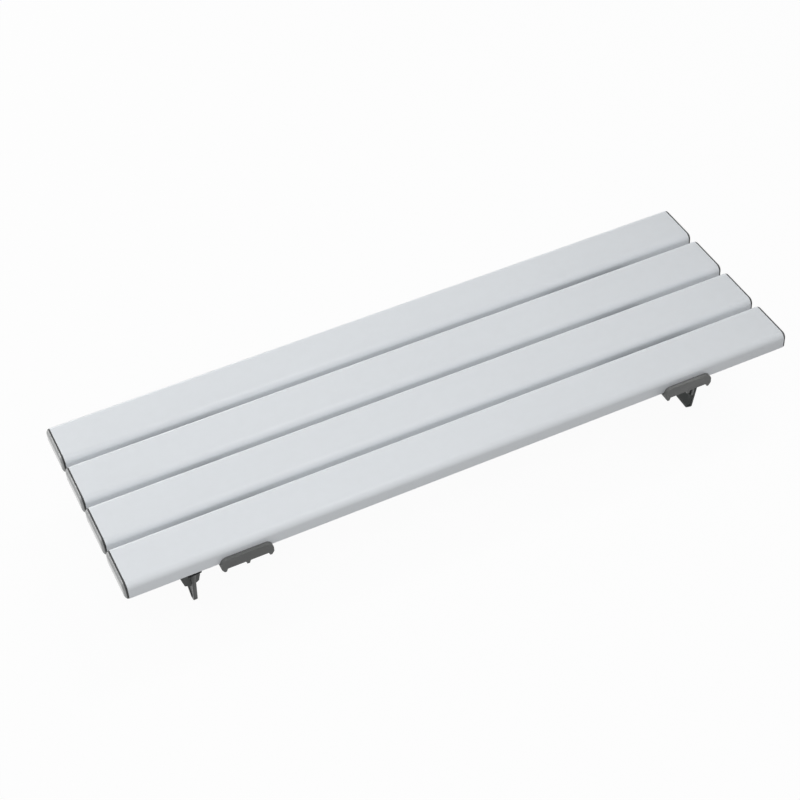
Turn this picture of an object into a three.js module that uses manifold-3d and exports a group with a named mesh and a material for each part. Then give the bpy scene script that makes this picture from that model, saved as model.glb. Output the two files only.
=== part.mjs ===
// Slatted bath board: four hollow slats screwed to two cross rails, with an adjustable leg at each corner.
// Millimetres, +Z up. The origin is on the floor plane of the leg tips, under the middle of the board.
// +X runs along the slats and +Y points to the rear edge of the board.
import * as THREE from 'three';
import { mergeVertices } from 'three/addons/utils/BufferGeometryUtils.js';
import Module from 'manifold-3d';

const wasm = await Module();
wasm.setup();

// Fits shared by all pieces
const overrun = 1;          // how far a tool passes through a face, or a joined piece into its neighbour
const seat = 0.1;           // gap between pieces that are screwed together
const runningGap = 0.3;     // gap between pieces that move on each other
const holeClearance = 0.3;  // extra radius of a hole round a screw or bolt
const roundSteps = 16;      // sides of a round piece
const smallSteps = 10;      // sides of a slat screw and its hole
const domeSteps = 2;        // rings of a screw head's dome

// Slats
const boardLength = 686;
const slatCount = 4;
const slatWidth = 51;
const slatHeight = 18.3;
const slatGap = 6.5;
const slatTopRadius = 6.5;
const slatBottomRadius = 3.1;
const slatWall = 2.2;
const slatWebThickness = 1.8;
const slatChamberWidth = 15;   // middle chamber, between the two inner webs
const rimFace = 54;            // length of the face under each slat end that lies on the bath's rim
const cornerSteps = 5;
const crownSteps = 4;
const crownPower = 3;          // how flat a cap's crown is in its middle

// End caps
const capThickness = 1.9;      // at the cap's edge
const capCrown = 2;            // how far the outer face bulges beyond the edge
const capInset = 0.3;
const plugDepth = 12;
const plugGap = 0.25;
const plugWall = 1.5;

// Cross rails
const railInset = 114;         // from an end of the board to the middle of the rail there
const railWidth = 50.5;
const railWeb = 3.2;
const railDepth = 6.4;
const railFlange = 5.6;        // a flange where it leaves the web; it narrows on both sides to its foot
const railFlangeFoot = 1.8;
const railFlangeBevel = 2.4;   // how far the outer side of a flange slants in
const railFlangeStraight = 2.8;  // depth of a flange's outer side above the slant
const railRib = 4.6;
const railRibFoot = 2.4;
const hookThickness = 3.9;
const hookRise = 8;            // height of the end hook above the underside of the slats
const hookCorner = 6.5;
const bossLength = 18;
const cheekThickness = 3;
const cheekDepth = 4;          // how far the arm guides reach below the rail

// Slat screws
const screwRadius = 2;
const screwHeadRadius = 4;
const screwHeadHeight = 2.4;
const screwReach = 8;          // thread standing inside the slat

// Clamp bolts, washers and knobs
const boltRadius = 3;
const boltHeadRadius = 6.5;
const boltHeadHeight = 3.2;
const boltNeckWidth = 6;
const boltNeckHeight = 2.4;
const boltPocketGap = 0.3;
const boltEndMargin = 3;       // plastic left below the bolt's end in the knob
const washerRadius = 8;
const washerThickness = 1.4;
const knobRadius = 14;
const knobWaist = 11.6;
const knobLobes = 6;
const lobeSteps = 6;
const knobHeight = 12;
const knobCollarRadius = 8;
const knobCollarHeight = 6;
const knobBoreGap = 0.35;
const knobEdge = 1.2;

// Arms
const armShift = 1.7;          // from the middle of the outer gap between slats out to an arm's middle line
const armWidth = 26;
const armThickness = 5;
const armEndRadius = 5;
const armTravelIn = 14;
const armTravelOut = 23;
const armTail = 10;            // arm beyond the slot's inner end
const legReach = 52.5;         // from clamp bolt to leg axis
const pivotRecess = 3;

// Legs
const legDrop = 92;            // from the underside of the slats to the leg tip
const hubRadius = 15.5;
const hubThickness = 4;
const pivotBossRadius = 5.5;
const pivotBossHeight = 24;
const pivotRadius = 2.5;
const pivotHeadRadius = 4.6;
const pivotHeadHeight = 2.6;
const pivotLength = 24;
const bladeThickness = 2.2;    // thin middle of the blade, between its recesses
const bladeRimThickness = 4.2;
const bladeRimWidth = 2;
const bladeInner = 20.8;       // widest reach of the blade towards the board's middle
const bladeInnerHeight = 30.5; // height above the tip where the slanting inner edge ends
const bladeTipInner = 3.7;
const bladeTipOuter = 3.6;
const bladeOuter = 9.9;
const bladeOuterHeight = 41;   // height above the tip where the outer edge turns out to the pad seat
const bladeTipRadius = 1.8;
const wingThickness = 2.4;
const wingTop = 15;
const wingTopDepth = 24;       // below the hub, where the wings start to narrow
const wingFoot = 7.4;
const wingFootHeight = 22;     // height above the tip of a wing's outer lower corner
const wingRootHeight = 18;     // height above the tip where the wings meet the blade
const padSeatReach = 13;       // from leg axis to the back of the pad
const padSeatThickness = 2.6;
const padHeight = 26;
const padWidth = 14;
const padThickness = 3;
const padTopDrop = 2;          // pad top below the hub
const padLip = 0.8;            // seat material left round the pad

// Turn of each leg about its own axis, from pointing straight outwards
const legTurns = { front_left: 94, front_right: -12, rear_left: 0, rear_right: 0 };

// Places worked out from the sizes above
const slatPitch = slatWidth + slatGap;
const slatLength = boardLength - 2 * (capThickness + capCrown);
const rowHalf = ((slatCount - 1) * slatPitch) / 2;
const boardHalfDepth = rowHalf + slatWidth / 2;
const armOffset = rowHalf - slatPitch / 2 + armShift;
const railSpacing = boardLength - 2 * railInset;
const channelMiddle = (railRib / 2 + railWidth / 2 - railFlange) / 2;
const railInside = boardHalfDepth + runningGap;
const railTop = -seat;
const railWebUnder = railTop - railWeb;
const railUnder = railTop - railDepth;
const armTop = railUnder - runningGap;
const armUnder = armTop - armThickness;
const hubTop = armUnder - runningGap;
const hubUnder = hubTop - hubThickness;
const washerTop = armUnder - runningGap;
const washerUnder = washerTop - washerThickness;
const knobTop = washerUnder - seat;
const knobUnder = knobTop - knobCollarHeight - knobHeight;
const boltEnd = knobUnder + boltEndMargin + holeClearance;
const clampX = railSpacing / 2 - channelMiddle;
const legX = clampX + legReach;
const bossHeadFloor = railTop - boltPocketGap - boltHeadHeight;

const slatNames = ['front', 'mid_front', 'mid_rear', 'rear'];
const ends = [{ name: 'left', side: -1 }, { name: 'right', side: 1 }];
const corners = [
  { name: 'front_left', side: -1, row: -1 },
  { name: 'front_right', side: 1, row: -1 },
  { name: 'rear_left', side: -1, row: 1 },
  { name: 'rear_right', side: 1, row: 1 },
];

const materials = {
  slat: () => new THREE.MeshStandardMaterial({ color: 0xe6e9ec, roughness: 0.32, metalness: 0 }),
  grey: () => new THREE.MeshStandardMaterial({ color: 0x6b6e6d, roughness: 0.5, metalness: 0 }),
  dark: () => new THREE.MeshStandardMaterial({ color: 0x4c5150, roughness: 0.55, metalness: 0 }),
  rubber: () => new THREE.MeshStandardMaterial({ color: 0x222424, roughness: 0.85, metalness: 0 }),
  steel: () => new THREE.MeshStandardMaterial({ color: 0xb9bcc0, roughness: 0.3, metalness: 1 }),
};

// Turns a closed three.js geometry into a solid for joining and cutting
function solid(geometry) {
  const plain = geometry.clone();
  plain.deleteAttribute('normal');
  plain.deleteAttribute('uv');
  const merged = mergeVertices(plain);
  return new wasm.Manifold(new wasm.Mesh({
    numProp: 3,
    vertProperties: new Float32Array(merged.attributes.position.array),
    triVerts: new Uint32Array(merged.index.array),
  }));
}

// Turns a solid back into a flat-shaded geometry
function geometryOf(body) {
  const mesh = body.getMesh();
  const geometry = new THREE.BufferGeometry();
  geometry.setAttribute('position', new THREE.BufferAttribute(mesh.vertProperties, 3));
  geometry.setIndex(new THREE.BufferAttribute(mesh.triVerts, 1));
  const flat = geometry.toNonIndexed();
  flat.computeVertexNormals();
  return flat;
}

const joined = (solids) => solids.reduce((whole, piece) => whole.add(piece));
const cut = (body, tools) => tools.reduce((rest, tool) => rest.subtract(tool), body);

// Extrudes an outline drawn in Y and Z along X, centred on X
function alongX(shape, length) {
  const geometry = new THREE.ExtrudeGeometry(shape, { depth: length, bevelEnabled: false });
  geometry.translate(0, 0, -length / 2);
  const turn = new THREE.Matrix4();
  turn.makeBasis(new THREE.Vector3(0, 1, 0), new THREE.Vector3(0, 0, 1), new THREE.Vector3(1, 0, 0));
  return geometry.applyMatrix4(turn);
}

// Extrudes an outline drawn in X and Z along Y, centred on Y
function alongY(shape, length) {
  const geometry = new THREE.ExtrudeGeometry(shape, { depth: length, bevelEnabled: false });
  geometry.translate(0, 0, -length / 2);
  return geometry.rotateX(Math.PI / 2);
}

// Extrudes an outline drawn in X and Y upwards from a height
function alongZ(shape, height, base) {
  const geometry = new THREE.ExtrudeGeometry(shape, { depth: height, bevelEnabled: false });
  return geometry.translate(0, 0, base);
}

// A box given by its lower and upper corners
function block(low, high) {
  const size = high.map((value, axis) => value - low[axis]);
  const geometry = new THREE.BoxGeometry(...size);
  return geometry.translate(...low.map((value, axis) => value + size[axis] / 2));
}

// A round bar standing on a height
function bar(radius, height, base, x = 0, y = 0, steps = roundSteps) {
  const geometry = new THREE.CylinderGeometry(radius, radius, height, steps);
  geometry.rotateX(Math.PI / 2);
  return geometry.translate(x, y, base + height / 2);
}

// Adds a quarter arc to an outline, from one angle on for 90 degrees, with its ends on true points
function corner(points, x, y, radius, from) {
  for (let step = 0; step <= cornerSteps; step += 1) {
    const angle = ((from + (90 * step) / cornerSteps) * Math.PI) / 180;
    points.push(new THREE.Vector2(x + radius * Math.cos(angle), y + radius * Math.sin(angle)));
  }
}

// The slat's outer outline, drawn in by an inset, with its underside at zero
function slatOutline(inset) {
  const half = slatWidth / 2 - inset;
  const top = slatHeight - inset;
  const upper = slatTopRadius - inset;
  const lower = Math.max(slatBottomRadius - inset, seat);
  const points = [];
  corner(points, half - upper, top - upper, upper, 0);
  corner(points, upper - half, top - upper, upper, 90);
  corner(points, lower - half, inset + lower, lower, 180);
  corner(points, half - lower, inset + lower, lower, 270);
  return points;
}

// A rectangle with one large and one small corner radius on each side chamber, or sharp in the middle one
function chamberShapes(shrink) {
  const low = slatWall + shrink;
  const high = slatHeight - slatWall - shrink;
  const webInside = slatChamberWidth / 2 - shrink;
  const webOutside = slatChamberWidth / 2 + slatWebThickness + shrink;
  const outside = slatWidth / 2 - slatWall - shrink;
  const upper = slatTopRadius - slatWall - shrink;
  const lower = Math.max(slatBottomRadius - slatWall - shrink, seat);
  const middle = [[-webInside, low], [webInside, low], [webInside, high], [-webInside, high]];
  const rightSide = [new THREE.Vector2(webOutside, high), new THREE.Vector2(webOutside, low)];
  corner(rightSide, outside - lower, low + lower, lower, 270);
  corner(rightSide, outside - upper, high - upper, upper, 0);
  const leftSide = rightSide.map((point) => new THREE.Vector2(-point.x, point.y)).reverse();
  return [middle.map(([y, z]) => new THREE.Vector2(y, z)), rightSide, leftSide];
}

// One hollow slat, open at both ends, drilled for its screws; its underside is at zero.
// It is joined from three lengths, so that its underside beyond each rail is a face of its own.
function slatGeometry() {
  const middleLength = slatLength - 2 * rimFace;
  const endLengths = [-1, 1].map((side) => solid(
    alongX(new THREE.Shape(slatOutline(0)), rimFace).translate((side * (slatLength - rimFace)) / 2, 0, 0),
  ));
  const body = joined([solid(alongX(new THREE.Shape(slatOutline(0)), middleLength)), ...endLengths]);
  const chambers = chamberShapes(0).map((points) => solid(
    alongX(new THREE.Shape(points), slatLength + 2 * overrun),
  ));
  const drills = screwPlaces().map((x) => solid(
    bar(screwRadius + holeClearance, slatWall + 2 * overrun, -overrun, x, 0, smallSteps),
  ));
  return geometryOf(cut(body, [...chambers, ...drills]));
}

// Where the slat screws stand along X, the same for every slat
function screwPlaces() {
  return ends.flatMap(({ side }) => [-1, 1].map((hand) => (side * railSpacing) / 2 + hand * channelMiddle));
}

// The outer part of an end cap: the slat's outline drawn out along +X and closed by a crown
function capPlate() {
  const outline = slatOutline(capInset);
  const middle = slatHeight / 2;
  const ring = (x, share) => outline.flatMap((point) => [x, point.x * share, middle + (point.y - middle) * share]);
  const positions = ring(0, 1);
  for (let step = 0; step < crownSteps; step += 1) {
    const share = 1 - step / crownSteps;
    positions.push(...ring(capThickness + capCrown * (1 - share ** crownPower), share));
  }
  positions.push(0, 0, middle, capThickness + capCrown, 0, middle);
  const count = outline.length;
  const inside = (crownSteps + 1) * count;
  const faces = [];
  for (let index = 0; index < count; index += 1) {
    const after = (index + 1) % count;
    faces.push(inside, after, index);
    for (let near = 0; near < crownSteps * count; near += count) {
      const far = near + count;
      faces.push(near + index, near + after, far + after, near + index, far + after, far + index);
    }
    faces.push(crownSteps * count + index, crownSteps * count + after, inside + 1);
  }
  const geometry = new THREE.BufferGeometry();
  geometry.setAttribute('position', new THREE.Float32BufferAttribute(positions, 3));
  geometry.setIndex(faces);
  return geometry;
}

// An end cap for the right end: a crowned plate with three hollow plugs; its inner face is at X zero
function capGeometry() {
  const plugs = chamberShapes(plugGap).map((points) => solid(
    alongX(new THREE.Shape(points), plugDepth + overrun).translate((overrun - plugDepth) / 2, 0, 0),
  ));
  const hollows = chamberShapes(plugGap + plugWall).map((points) => solid(
    alongX(new THREE.Shape(points), plugDepth + overrun).translate(-(overrun + plugDepth) / 2, 0, 0),
  ));
  const trimmed = plugs.map((plug) => plug.subtract(solid(block(
    [capThickness / 2, -slatWidth, -slatHeight],
    [capThickness + overrun, slatWidth, 2 * slatHeight],
  ))));
  return geometryOf(cut(joined([solid(capPlate()), ...trimmed]), hollows));
}

// A rail's cross-section in X and Z: a web with two flanges and a middle rib, which narrow downwards
function railSection() {
  const half = railWidth / 2;
  const footOutside = half - railFlangeBevel;
  const side = [
    [railRibFoot / 2, railUnder],
    [railRib / 2, railWebUnder],
    [half - railFlange, railWebUnder],
    [footOutside - railFlangeFoot, railUnder],
    [footOutside, railUnder],
    [half, railTop - railFlangeStraight],
    [half, railTop],
  ];
  const mirrored = side.slice().reverse().map(([x, z]) => [-x, z]);
  return new THREE.Shape([...side, ...mirrored].map(([x, z]) => new THREE.Vector2(x, z)));
}

// The outline of an end hook, in X and Z, with rounded upper corners
function hookShape() {
  const half = railWidth / 2;
  const base = railTop - railFlangeStraight;
  const points = [new THREE.Vector2(-half, base), new THREE.Vector2(half, base)];
  corner(points, half - hookCorner, hookRise - hookCorner, hookCorner, 0);
  corner(points, hookCorner - half, hookRise - hookCorner, hookCorner, 90);
  return new THREE.Shape(points);
}

// One cross rail, an inverted channel with a middle rib; X zero is its middle and arms leave towards +X
function railGeometry() {
  const half = railWidth / 2;
  const reach = railInside + hookThickness;
  const solids = [solid(alongY(railSection(), 2 * reach))];
  const tools = [];
  for (const row of [-1, 1]) {
    const hookMiddle = row * (railInside + hookThickness / 2);
    solids.push(solid(alongY(hookShape(), hookThickness).translate(0, hookMiddle, 0)));
    const y = row * armOffset;
    const bossMiddle = -channelMiddle;
    solids.push(solid(block([-half, y - bossLength / 2, railUnder], [0, y + bossLength / 2, railTop])));
    for (const hand of [-1, 1]) {
      const inner = y + hand * (armWidth / 2 + runningGap + cheekThickness / 2);
      const low = [-half, inner - cheekThickness / 2, railUnder - cheekDepth];
      solids.push(solid(block(low, [half, inner + cheekThickness / 2, railTop])));
    }
    tools.push(solid(bar(boltHeadRadius + holeClearance, railDepth, bossHeadFloor, bossMiddle, y)));
    const neck = boltNeckWidth / 2 + holeClearance;
    tools.push(solid(block(
      [bossMiddle - neck, y - neck, railUnder - overrun],
      [bossMiddle + neck, y + neck, railTop + overrun],
    )));
  }
  for (let index = 0; index < slatCount; index += 1) {
    for (const hand of [-1, 1]) {
      const drill = bar(
        screwRadius + holeClearance,
        railDepth + 2 * overrun,
        railUnder - overrun,
        hand * channelMiddle,
        slatPlace(index),
        smallSteps,
      );
      tools.push(solid(drill));
    }
  }
  return geometryOf(cut(joined(solids), tools));
}

const slatPlace = (index) => index * slatPitch - rowHalf;

// A slat screw: round head under the rail's web, shank up into the slat; its head's top is at the web's underside
function slatScrewGeometry() {
  const head = railWebUnder - seat;
  const shank = slatWall + screwReach - head;
  return geometryOf(joined([
    solid(domeHead(screwHeadRadius, screwHeadHeight, -1, smallSteps).translate(0, 0, head)),
    solid(bar(screwRadius, shank + screwHeadHeight / 2, head - screwHeadHeight / 2, 0, 0, smallSteps)),
  ]));
}

// A shallow domed head with its flat at zero, rising up (+1) or down (-1)
function domeHead(radius, height, way, steps = roundSteps) {
  const rimShare = 0.3;
  const points = [new THREE.Vector2(0, 0), new THREE.Vector2(radius, 0)];
  for (let step = 0; step < domeSteps; step += 1) {
    const angle = (step / domeSteps) * (Math.PI / 2);
    const rise = height * (rimShare + (1 - rimShare) * Math.sin(angle));
    points.push(new THREE.Vector2(radius * Math.cos(angle), rise));
  }
  points.push(new THREE.Vector2(0, height));
  const geometry = new THREE.LatheGeometry(points, steps);
  return geometry.rotateX((way * Math.PI) / 2);
}

// A coach bolt: domed head in the rail's pocket, square neck, round shank down into the knob
function clampBoltGeometry() {
  const flat = bossHeadFloor + seat;
  const neckUnder = flat - boltNeckHeight;
  const half = boltNeckWidth / 2;
  return geometryOf(joined([
    solid(domeHead(boltHeadRadius, boltHeadHeight - seat, 1).translate(0, 0, flat)),
    solid(block([-half, -half, neckUnder], [half, half, flat + boltHeadHeight / 2])),
    solid(bar(boltRadius, flat - boltEnd, boltEnd)),
  ]));
}

function washerGeometry() {
  const washer = solid(bar(washerRadius, washerThickness, washerUnder));
  const hole = solid(bar(boltRadius + holeClearance, washerThickness + 2 * overrun, washerUnder - overrun));
  return geometryOf(washer.subtract(hole));
}

// The lobed outline of a hand knob
function knobOutline(inset) {
  const points = [];
  const steps = knobLobes * lobeSteps;
  for (let step = 0; step < steps; step += 1) {
    const angle = (step / steps) * 2 * Math.PI;
    const wave = (1 + Math.cos(knobLobes * angle)) / 2;
    const radius = knobWaist + (knobRadius - knobWaist) * wave - inset;
    points.push(new THREE.Vector2(radius * Math.cos(angle), radius * Math.sin(angle)));
  }
  return points;
}

// A solid between two outlines with the same number of points, one above the other
function loft(lower, lowerHeight, upper, upperHeight) {
  const count = lower.length;
  const rings = [[lower, lowerHeight], [upper, upperHeight]];
  const vertices = rings.flatMap(([ring, height]) => ring.flatMap((point) => [point.x, point.y, height]));
  const faces = THREE.ShapeUtils.triangulateShape(lower, []).flatMap(([a, b, c]) => [c, b, a]);
  faces.push(...THREE.ShapeUtils.triangulateShape(upper, []).flat().map((index) => index + count));
  for (let index = 0; index < count; index += 1) {
    const next = (index + 1) % count;
    faces.push(index, next, count + next, index, count + next, count + index);
  }
  const geometry = new THREE.BufferGeometry();
  geometry.setAttribute('position', new THREE.Float32BufferAttribute(vertices, 3));
  geometry.setIndex(faces);
  return geometry;
}

// A hand knob: lobed grip below, round collar above, blind threaded bore open at the top
function knobGeometry() {
  const gripTop = knobUnder + knobHeight;
  const plain = solid(loft(knobOutline(0), knobUnder + knobEdge, knobOutline(0), gripTop - knobEdge));
  const lowerEdge = solid(loft(knobOutline(knobEdge), knobUnder, knobOutline(0), knobUnder + knobEdge));
  const upperEdge = solid(loft(knobOutline(0), gripTop - knobEdge, knobOutline(knobEdge), gripTop));
  const collar = solid(bar(knobCollarRadius, knobTop - gripTop + knobEdge, gripTop - knobEdge));
  const bore = bar(boltRadius + knobBoreGap, knobTop - boltEnd + holeClearance + overrun, boltEnd - holeClearance);
  return geometryOf(joined([plain, lowerEdge, upperEdge, collar]).subtract(solid(bore)));
}

// An arm: a slotted bar from the leg axis at X zero inwards along -X
function armGeometry() {
  const half = armWidth / 2;
  const inner = -(legReach + armTravelOut + armTail);
  const points = [];
  for (let step = 0; step <= 2 * cornerSteps; step += 1) {
    const angle = ((step / cornerSteps - 1) * Math.PI) / 2;
    points.push(new THREE.Vector2(half * Math.cos(angle), half * Math.sin(angle)));
  }
  corner(points, inner + armEndRadius, half - armEndRadius, armEndRadius, 90);
  corner(points, inner + armEndRadius, armEndRadius - half, armEndRadius, 180);
  const plate = solid(alongZ(new THREE.Shape(points), armThickness, armUnder));
  const slot = solid(alongZ(slotShape(), armThickness + 2 * overrun, armUnder - overrun));
  const recess = solid(bar(pivotHeadRadius + holeClearance, pivotRecess + overrun, armTop - pivotRecess));
  const hole = solid(bar(pivotRadius + holeClearance, armThickness + 2 * overrun, armUnder - overrun));
  return geometryOf(cut(plate, [slot, recess, hole]));
}

// The arm's slot, with round ends
function slotShape() {
  const radius = boltRadius + holeClearance;
  const near = -(legReach - armTravelIn);
  const far = -(legReach + armTravelOut);
  const points = [];
  for (let step = 0; step <= 2 * cornerSteps; step += 1) {
    const angle = ((step / cornerSteps - 1) * Math.PI) / 2;
    points.push(new THREE.Vector2(near + radius * Math.cos(angle), radius * Math.sin(angle)));
  }
  for (let step = 0; step <= 2 * cornerSteps; step += 1) {
    const angle = ((step / cornerSteps + 1) * Math.PI) / 2;
    points.push(new THREE.Vector2(far + radius * Math.cos(angle), radius * Math.sin(angle)));
  }
  return new THREE.Shape(points);
}

// The blade's outline in X (outwards) and Z: slanting inner edge, nearly upright outer edge, pad seat above
function bladeOutline() {
  const tip = -legDrop;
  const seatFoot = padFoot() - padLip - (padSeatReach - bladeOuter);
  return [
    [bladeTipOuter - bladeTipRadius, tip],
    [bladeTipOuter, tip + bladeTipRadius],
    [bladeOuter, tip + bladeOuterHeight],
    [bladeOuter, Math.max(seatFoot, tip + bladeOuterHeight)],
    [padSeatReach, padFoot() - padLip],
    [padSeatReach, hubUnder + overrun],
    [-bladeInner, hubUnder + overrun],
    [-bladeInner, tip + bladeInnerHeight],
    [-bladeTipInner, tip + bladeTipRadius],
    [bladeTipRadius - bladeTipInner, tip],
  ].map(([x, z]) => new THREE.Vector2(x, z));
}

const padFoot = () => hubUnder - padTopDrop - padHeight;

// The outline of the recess in each side of the blade, which leaves a rim along its edges
function recessOutline() {
  const tip = -legDrop;
  const edgeFoot = tip + bladeTipRadius;
  const base = tip + bladeRimWidth;
  const edge = (foot, knee, kneeHeight, height) => {
    const rise = kneeHeight - bladeTipRadius;
    const lean = (knee - foot) / rise;
    const inset = bladeRimWidth * Math.hypot(1, lean);
    return foot + lean * (height - edgeFoot) - inset;
  };
  const inner = (height) => -edge(bladeTipInner, bladeInner, bladeInnerHeight, height);
  const outer = (height) => edge(bladeTipOuter, bladeOuter, bladeOuterHeight, height);
  const innerKnee = tip + bladeInnerHeight - bladeRimWidth / 2;
  const outerKnee = tip + bladeOuterHeight - bladeRimWidth / 2;
  return [
    [outer(base), base],
    [outer(outerKnee), outerKnee],
    [outer(outerKnee), hubUnder],
    [inner(innerKnee), hubUnder],
    [inner(innerKnee), innerKnee],
    [inner(base), base],
  ].map(([x, z]) => new THREE.Vector2(x, z));
}

// The blade: a thin middle with a thicker rim along its edges
function bladeSolid() {
  const recess = new THREE.Shape(recessOutline());
  const depth = (bladeRimThickness - bladeThickness) / 2 + overrun;
  const tools = [-1, 1].map((hand) => solid(
    alongY(recess, depth).translate(0, (hand * (bladeThickness + depth)) / 2, 0),
  ));
  return cut(solid(alongY(new THREE.Shape(bladeOutline()), bladeRimThickness)), tools);
}

// The wings across the blade, cut off above the tip with their lower edges rising outwards
function wingShape() {
  const tip = -legDrop;
  const half = [
    [0, tip + wingRootHeight],
    [wingFoot, tip + wingFootHeight],
    [wingTop, hubUnder - wingTopDepth],
    [wingTop, hubUnder + overrun],
  ];
  const mirrored = half.slice(1).reverse().map(([y, z]) => [-y, z]);
  return new THREE.Shape([...half, ...mirrored].map(([y, z]) => new THREE.Vector2(y, z)));
}

// A leg: round hub, screw boss, blade with wings and a seat for the pad; its axis is at X and Y zero
function legGeometry() {
  const solids = [
    solid(bar(hubRadius, hubThickness, hubUnder)),
    solid(bar(pivotBossRadius, pivotBossHeight + overrun, hubUnder - pivotBossHeight)),
    bladeSolid(),
    solid(alongX(wingShape(), wingThickness)),
    solid(block(
      [padSeatReach - padSeatThickness, -padWidth / 2 - padLip, padFoot() - padLip],
      [padSeatReach, padWidth / 2 + padLip, hubUnder + overrun],
    )),
  ];
  const bore = bar(pivotRadius + holeClearance, pivotDepth() + overrun, hubTop - pivotDepth());
  return geometryOf(joined(solids).subtract(solid(bore)));
}

const pivotHeadFlat = () => armTop - pivotRecess + seat;
const pivotDepth = () => pivotLength - (pivotHeadFlat() - hubTop) + holeClearance;

// The screw that a leg turns on: its head lies in the arm's recess
function pivotGeometry() {
  const flat = pivotHeadFlat();
  return geometryOf(joined([
    solid(domeHead(pivotHeadRadius, pivotHeadHeight, 1).translate(0, 0, flat)),
    solid(bar(pivotRadius, pivotLength + pivotHeadHeight / 2, flat - pivotLength)),
  ]));
}

// The soft pad on the outer side of a leg
function padGeometry() {
  return block(
    [padSeatReach + seat, -padWidth / 2, padFoot()],
    [padSeatReach + seat + padThickness, padWidth / 2, padFoot() + padHeight],
  );
}

const board = new THREE.Group();
board.position.z = legDrop;

function place(name, geometry, material, parent, x, y) {
  const mesh = new THREE.Mesh(geometry, material());
  mesh.name = name;
  mesh.position.set(x, y, 0);
  parent.add(mesh);
  return mesh;
}

// The slats with their end caps
const slatShape = slatGeometry();
const capShape = capGeometry();
for (let index = 0; index < slatCount; index += 1) {
  place(`slat_${slatNames[index]}`, slatShape, materials.slat, board, 0, slatPlace(index));
  for (const { name, side } of ends) {
    const x = (side * slatLength) / 2;
    const cap = place(`end_cap_${slatNames[index]}_${name}`, capShape, materials.grey, board, x, slatPlace(index));
    cap.rotation.z = side > 0 ? 0 : Math.PI;
  }
}

// The rails with the screws that hold the slats
const railShape = railGeometry();
const slatScrewShape = slatScrewGeometry();
for (const { name, side } of ends) {
  const x = (side * railSpacing) / 2;
  const rail = place(`cross_rail_${name}`, railShape, materials.grey, board, x, 0);
  rail.rotation.z = side > 0 ? 0 : Math.PI;
  for (let index = 0; index < slatCount; index += 1) {
    for (const [hand, word] of [[-1, 'inner'], [1, 'outer']]) {
      const screwX = x + side * hand * channelMiddle;
      const screwName = `slat_screw_${name}_${slatNames[index]}_${word}`;
      place(screwName, slatScrewShape, materials.steel, board, screwX, slatPlace(index));
    }
  }
}

// The four corners: bolt, washer and knob, arm, and the leg with its pivot screw and pad
const cornerShapes = {
  bolt: clampBoltGeometry(),
  washer: washerGeometry(),
  knob: knobGeometry(),
  arm: armGeometry(),
  leg: legGeometry(),
  pivot: pivotGeometry(),
  pad: padGeometry(),
};
for (const { name, side, row } of corners) {
  const y = row * armOffset;
  place(`clamp_bolt_${name}`, cornerShapes.bolt, materials.steel, board, side * clampX, y);
  place(`clamp_washer_${name}`, cornerShapes.washer, materials.steel, board, side * clampX, y);
  place(`clamp_knob_${name}`, cornerShapes.knob, materials.dark, board, side * clampX, y);
  const arm = place(`arm_${name}`, cornerShapes.arm, materials.grey, board, side * legX, y);
  arm.rotation.z = side > 0 ? 0 : Math.PI;
  const turned = new THREE.Group();
  turned.position.set(side * legX, y, 0);
  turned.rotation.z = (legTurns[name] * Math.PI) / 180 + (side > 0 ? 0 : Math.PI);
  board.add(turned);
  place(`leg_${name}`, cornerShapes.leg, materials.dark, turned, 0, 0);
  place(`leg_pivot_screw_${name}`, cornerShapes.pivot, materials.steel, turned, 0, 0);
  place(`leg_pad_${name}`, cornerShapes.pad, materials.rubber, turned, 0, 0);
}

export default board;
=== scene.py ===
"""Slatted bath board, dressed for a studio picture.

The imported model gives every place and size. Shapes are drawn in millimetres with the underside of the
slats at height zero, and each finished mesh is then moved to its place in metres.
"""

import math

import bmesh
import bpy
from bpy.props import FloatProperty, FloatVectorProperty, IntProperty, PointerProperty
from mathutils import Matrix, Vector


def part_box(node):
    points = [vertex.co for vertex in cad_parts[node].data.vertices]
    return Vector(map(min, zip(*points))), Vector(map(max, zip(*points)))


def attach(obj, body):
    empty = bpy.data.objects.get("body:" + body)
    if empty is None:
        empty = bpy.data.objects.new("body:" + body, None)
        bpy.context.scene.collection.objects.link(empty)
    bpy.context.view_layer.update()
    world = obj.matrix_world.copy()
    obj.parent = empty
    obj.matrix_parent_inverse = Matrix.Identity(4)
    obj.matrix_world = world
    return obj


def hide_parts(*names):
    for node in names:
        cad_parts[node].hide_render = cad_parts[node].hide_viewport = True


bl_info = {
    "name": "Slatted Bath Board",
    "version": (1, 0, 0),
    "blender": (4, 5, 0),
    "location": "3D View > Sidebar > Bath Board",
    "description": "Builds the detailed pieces of a slatted bath board on its packed model",
    "category": "Object",
}

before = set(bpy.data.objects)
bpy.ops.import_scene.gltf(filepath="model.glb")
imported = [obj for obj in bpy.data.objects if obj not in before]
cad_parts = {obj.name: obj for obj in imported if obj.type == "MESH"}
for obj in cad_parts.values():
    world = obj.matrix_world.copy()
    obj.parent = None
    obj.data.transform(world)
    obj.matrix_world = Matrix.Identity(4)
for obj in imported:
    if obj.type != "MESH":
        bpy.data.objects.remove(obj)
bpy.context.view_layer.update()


def box_mm(node):
    """A node's lowest and highest corners in millimetres."""
    low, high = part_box(node)
    return low * 1000, high * 1000


ROWS = ("front", "mid_front", "mid_rear", "rear")
ENDS = (("left", -1), ("right", 1))
CORNERS = (("front_left", -1, -1), ("front_right", 1, -1), ("rear_left", -1, 1), ("rear_right", 1, 1))

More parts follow.
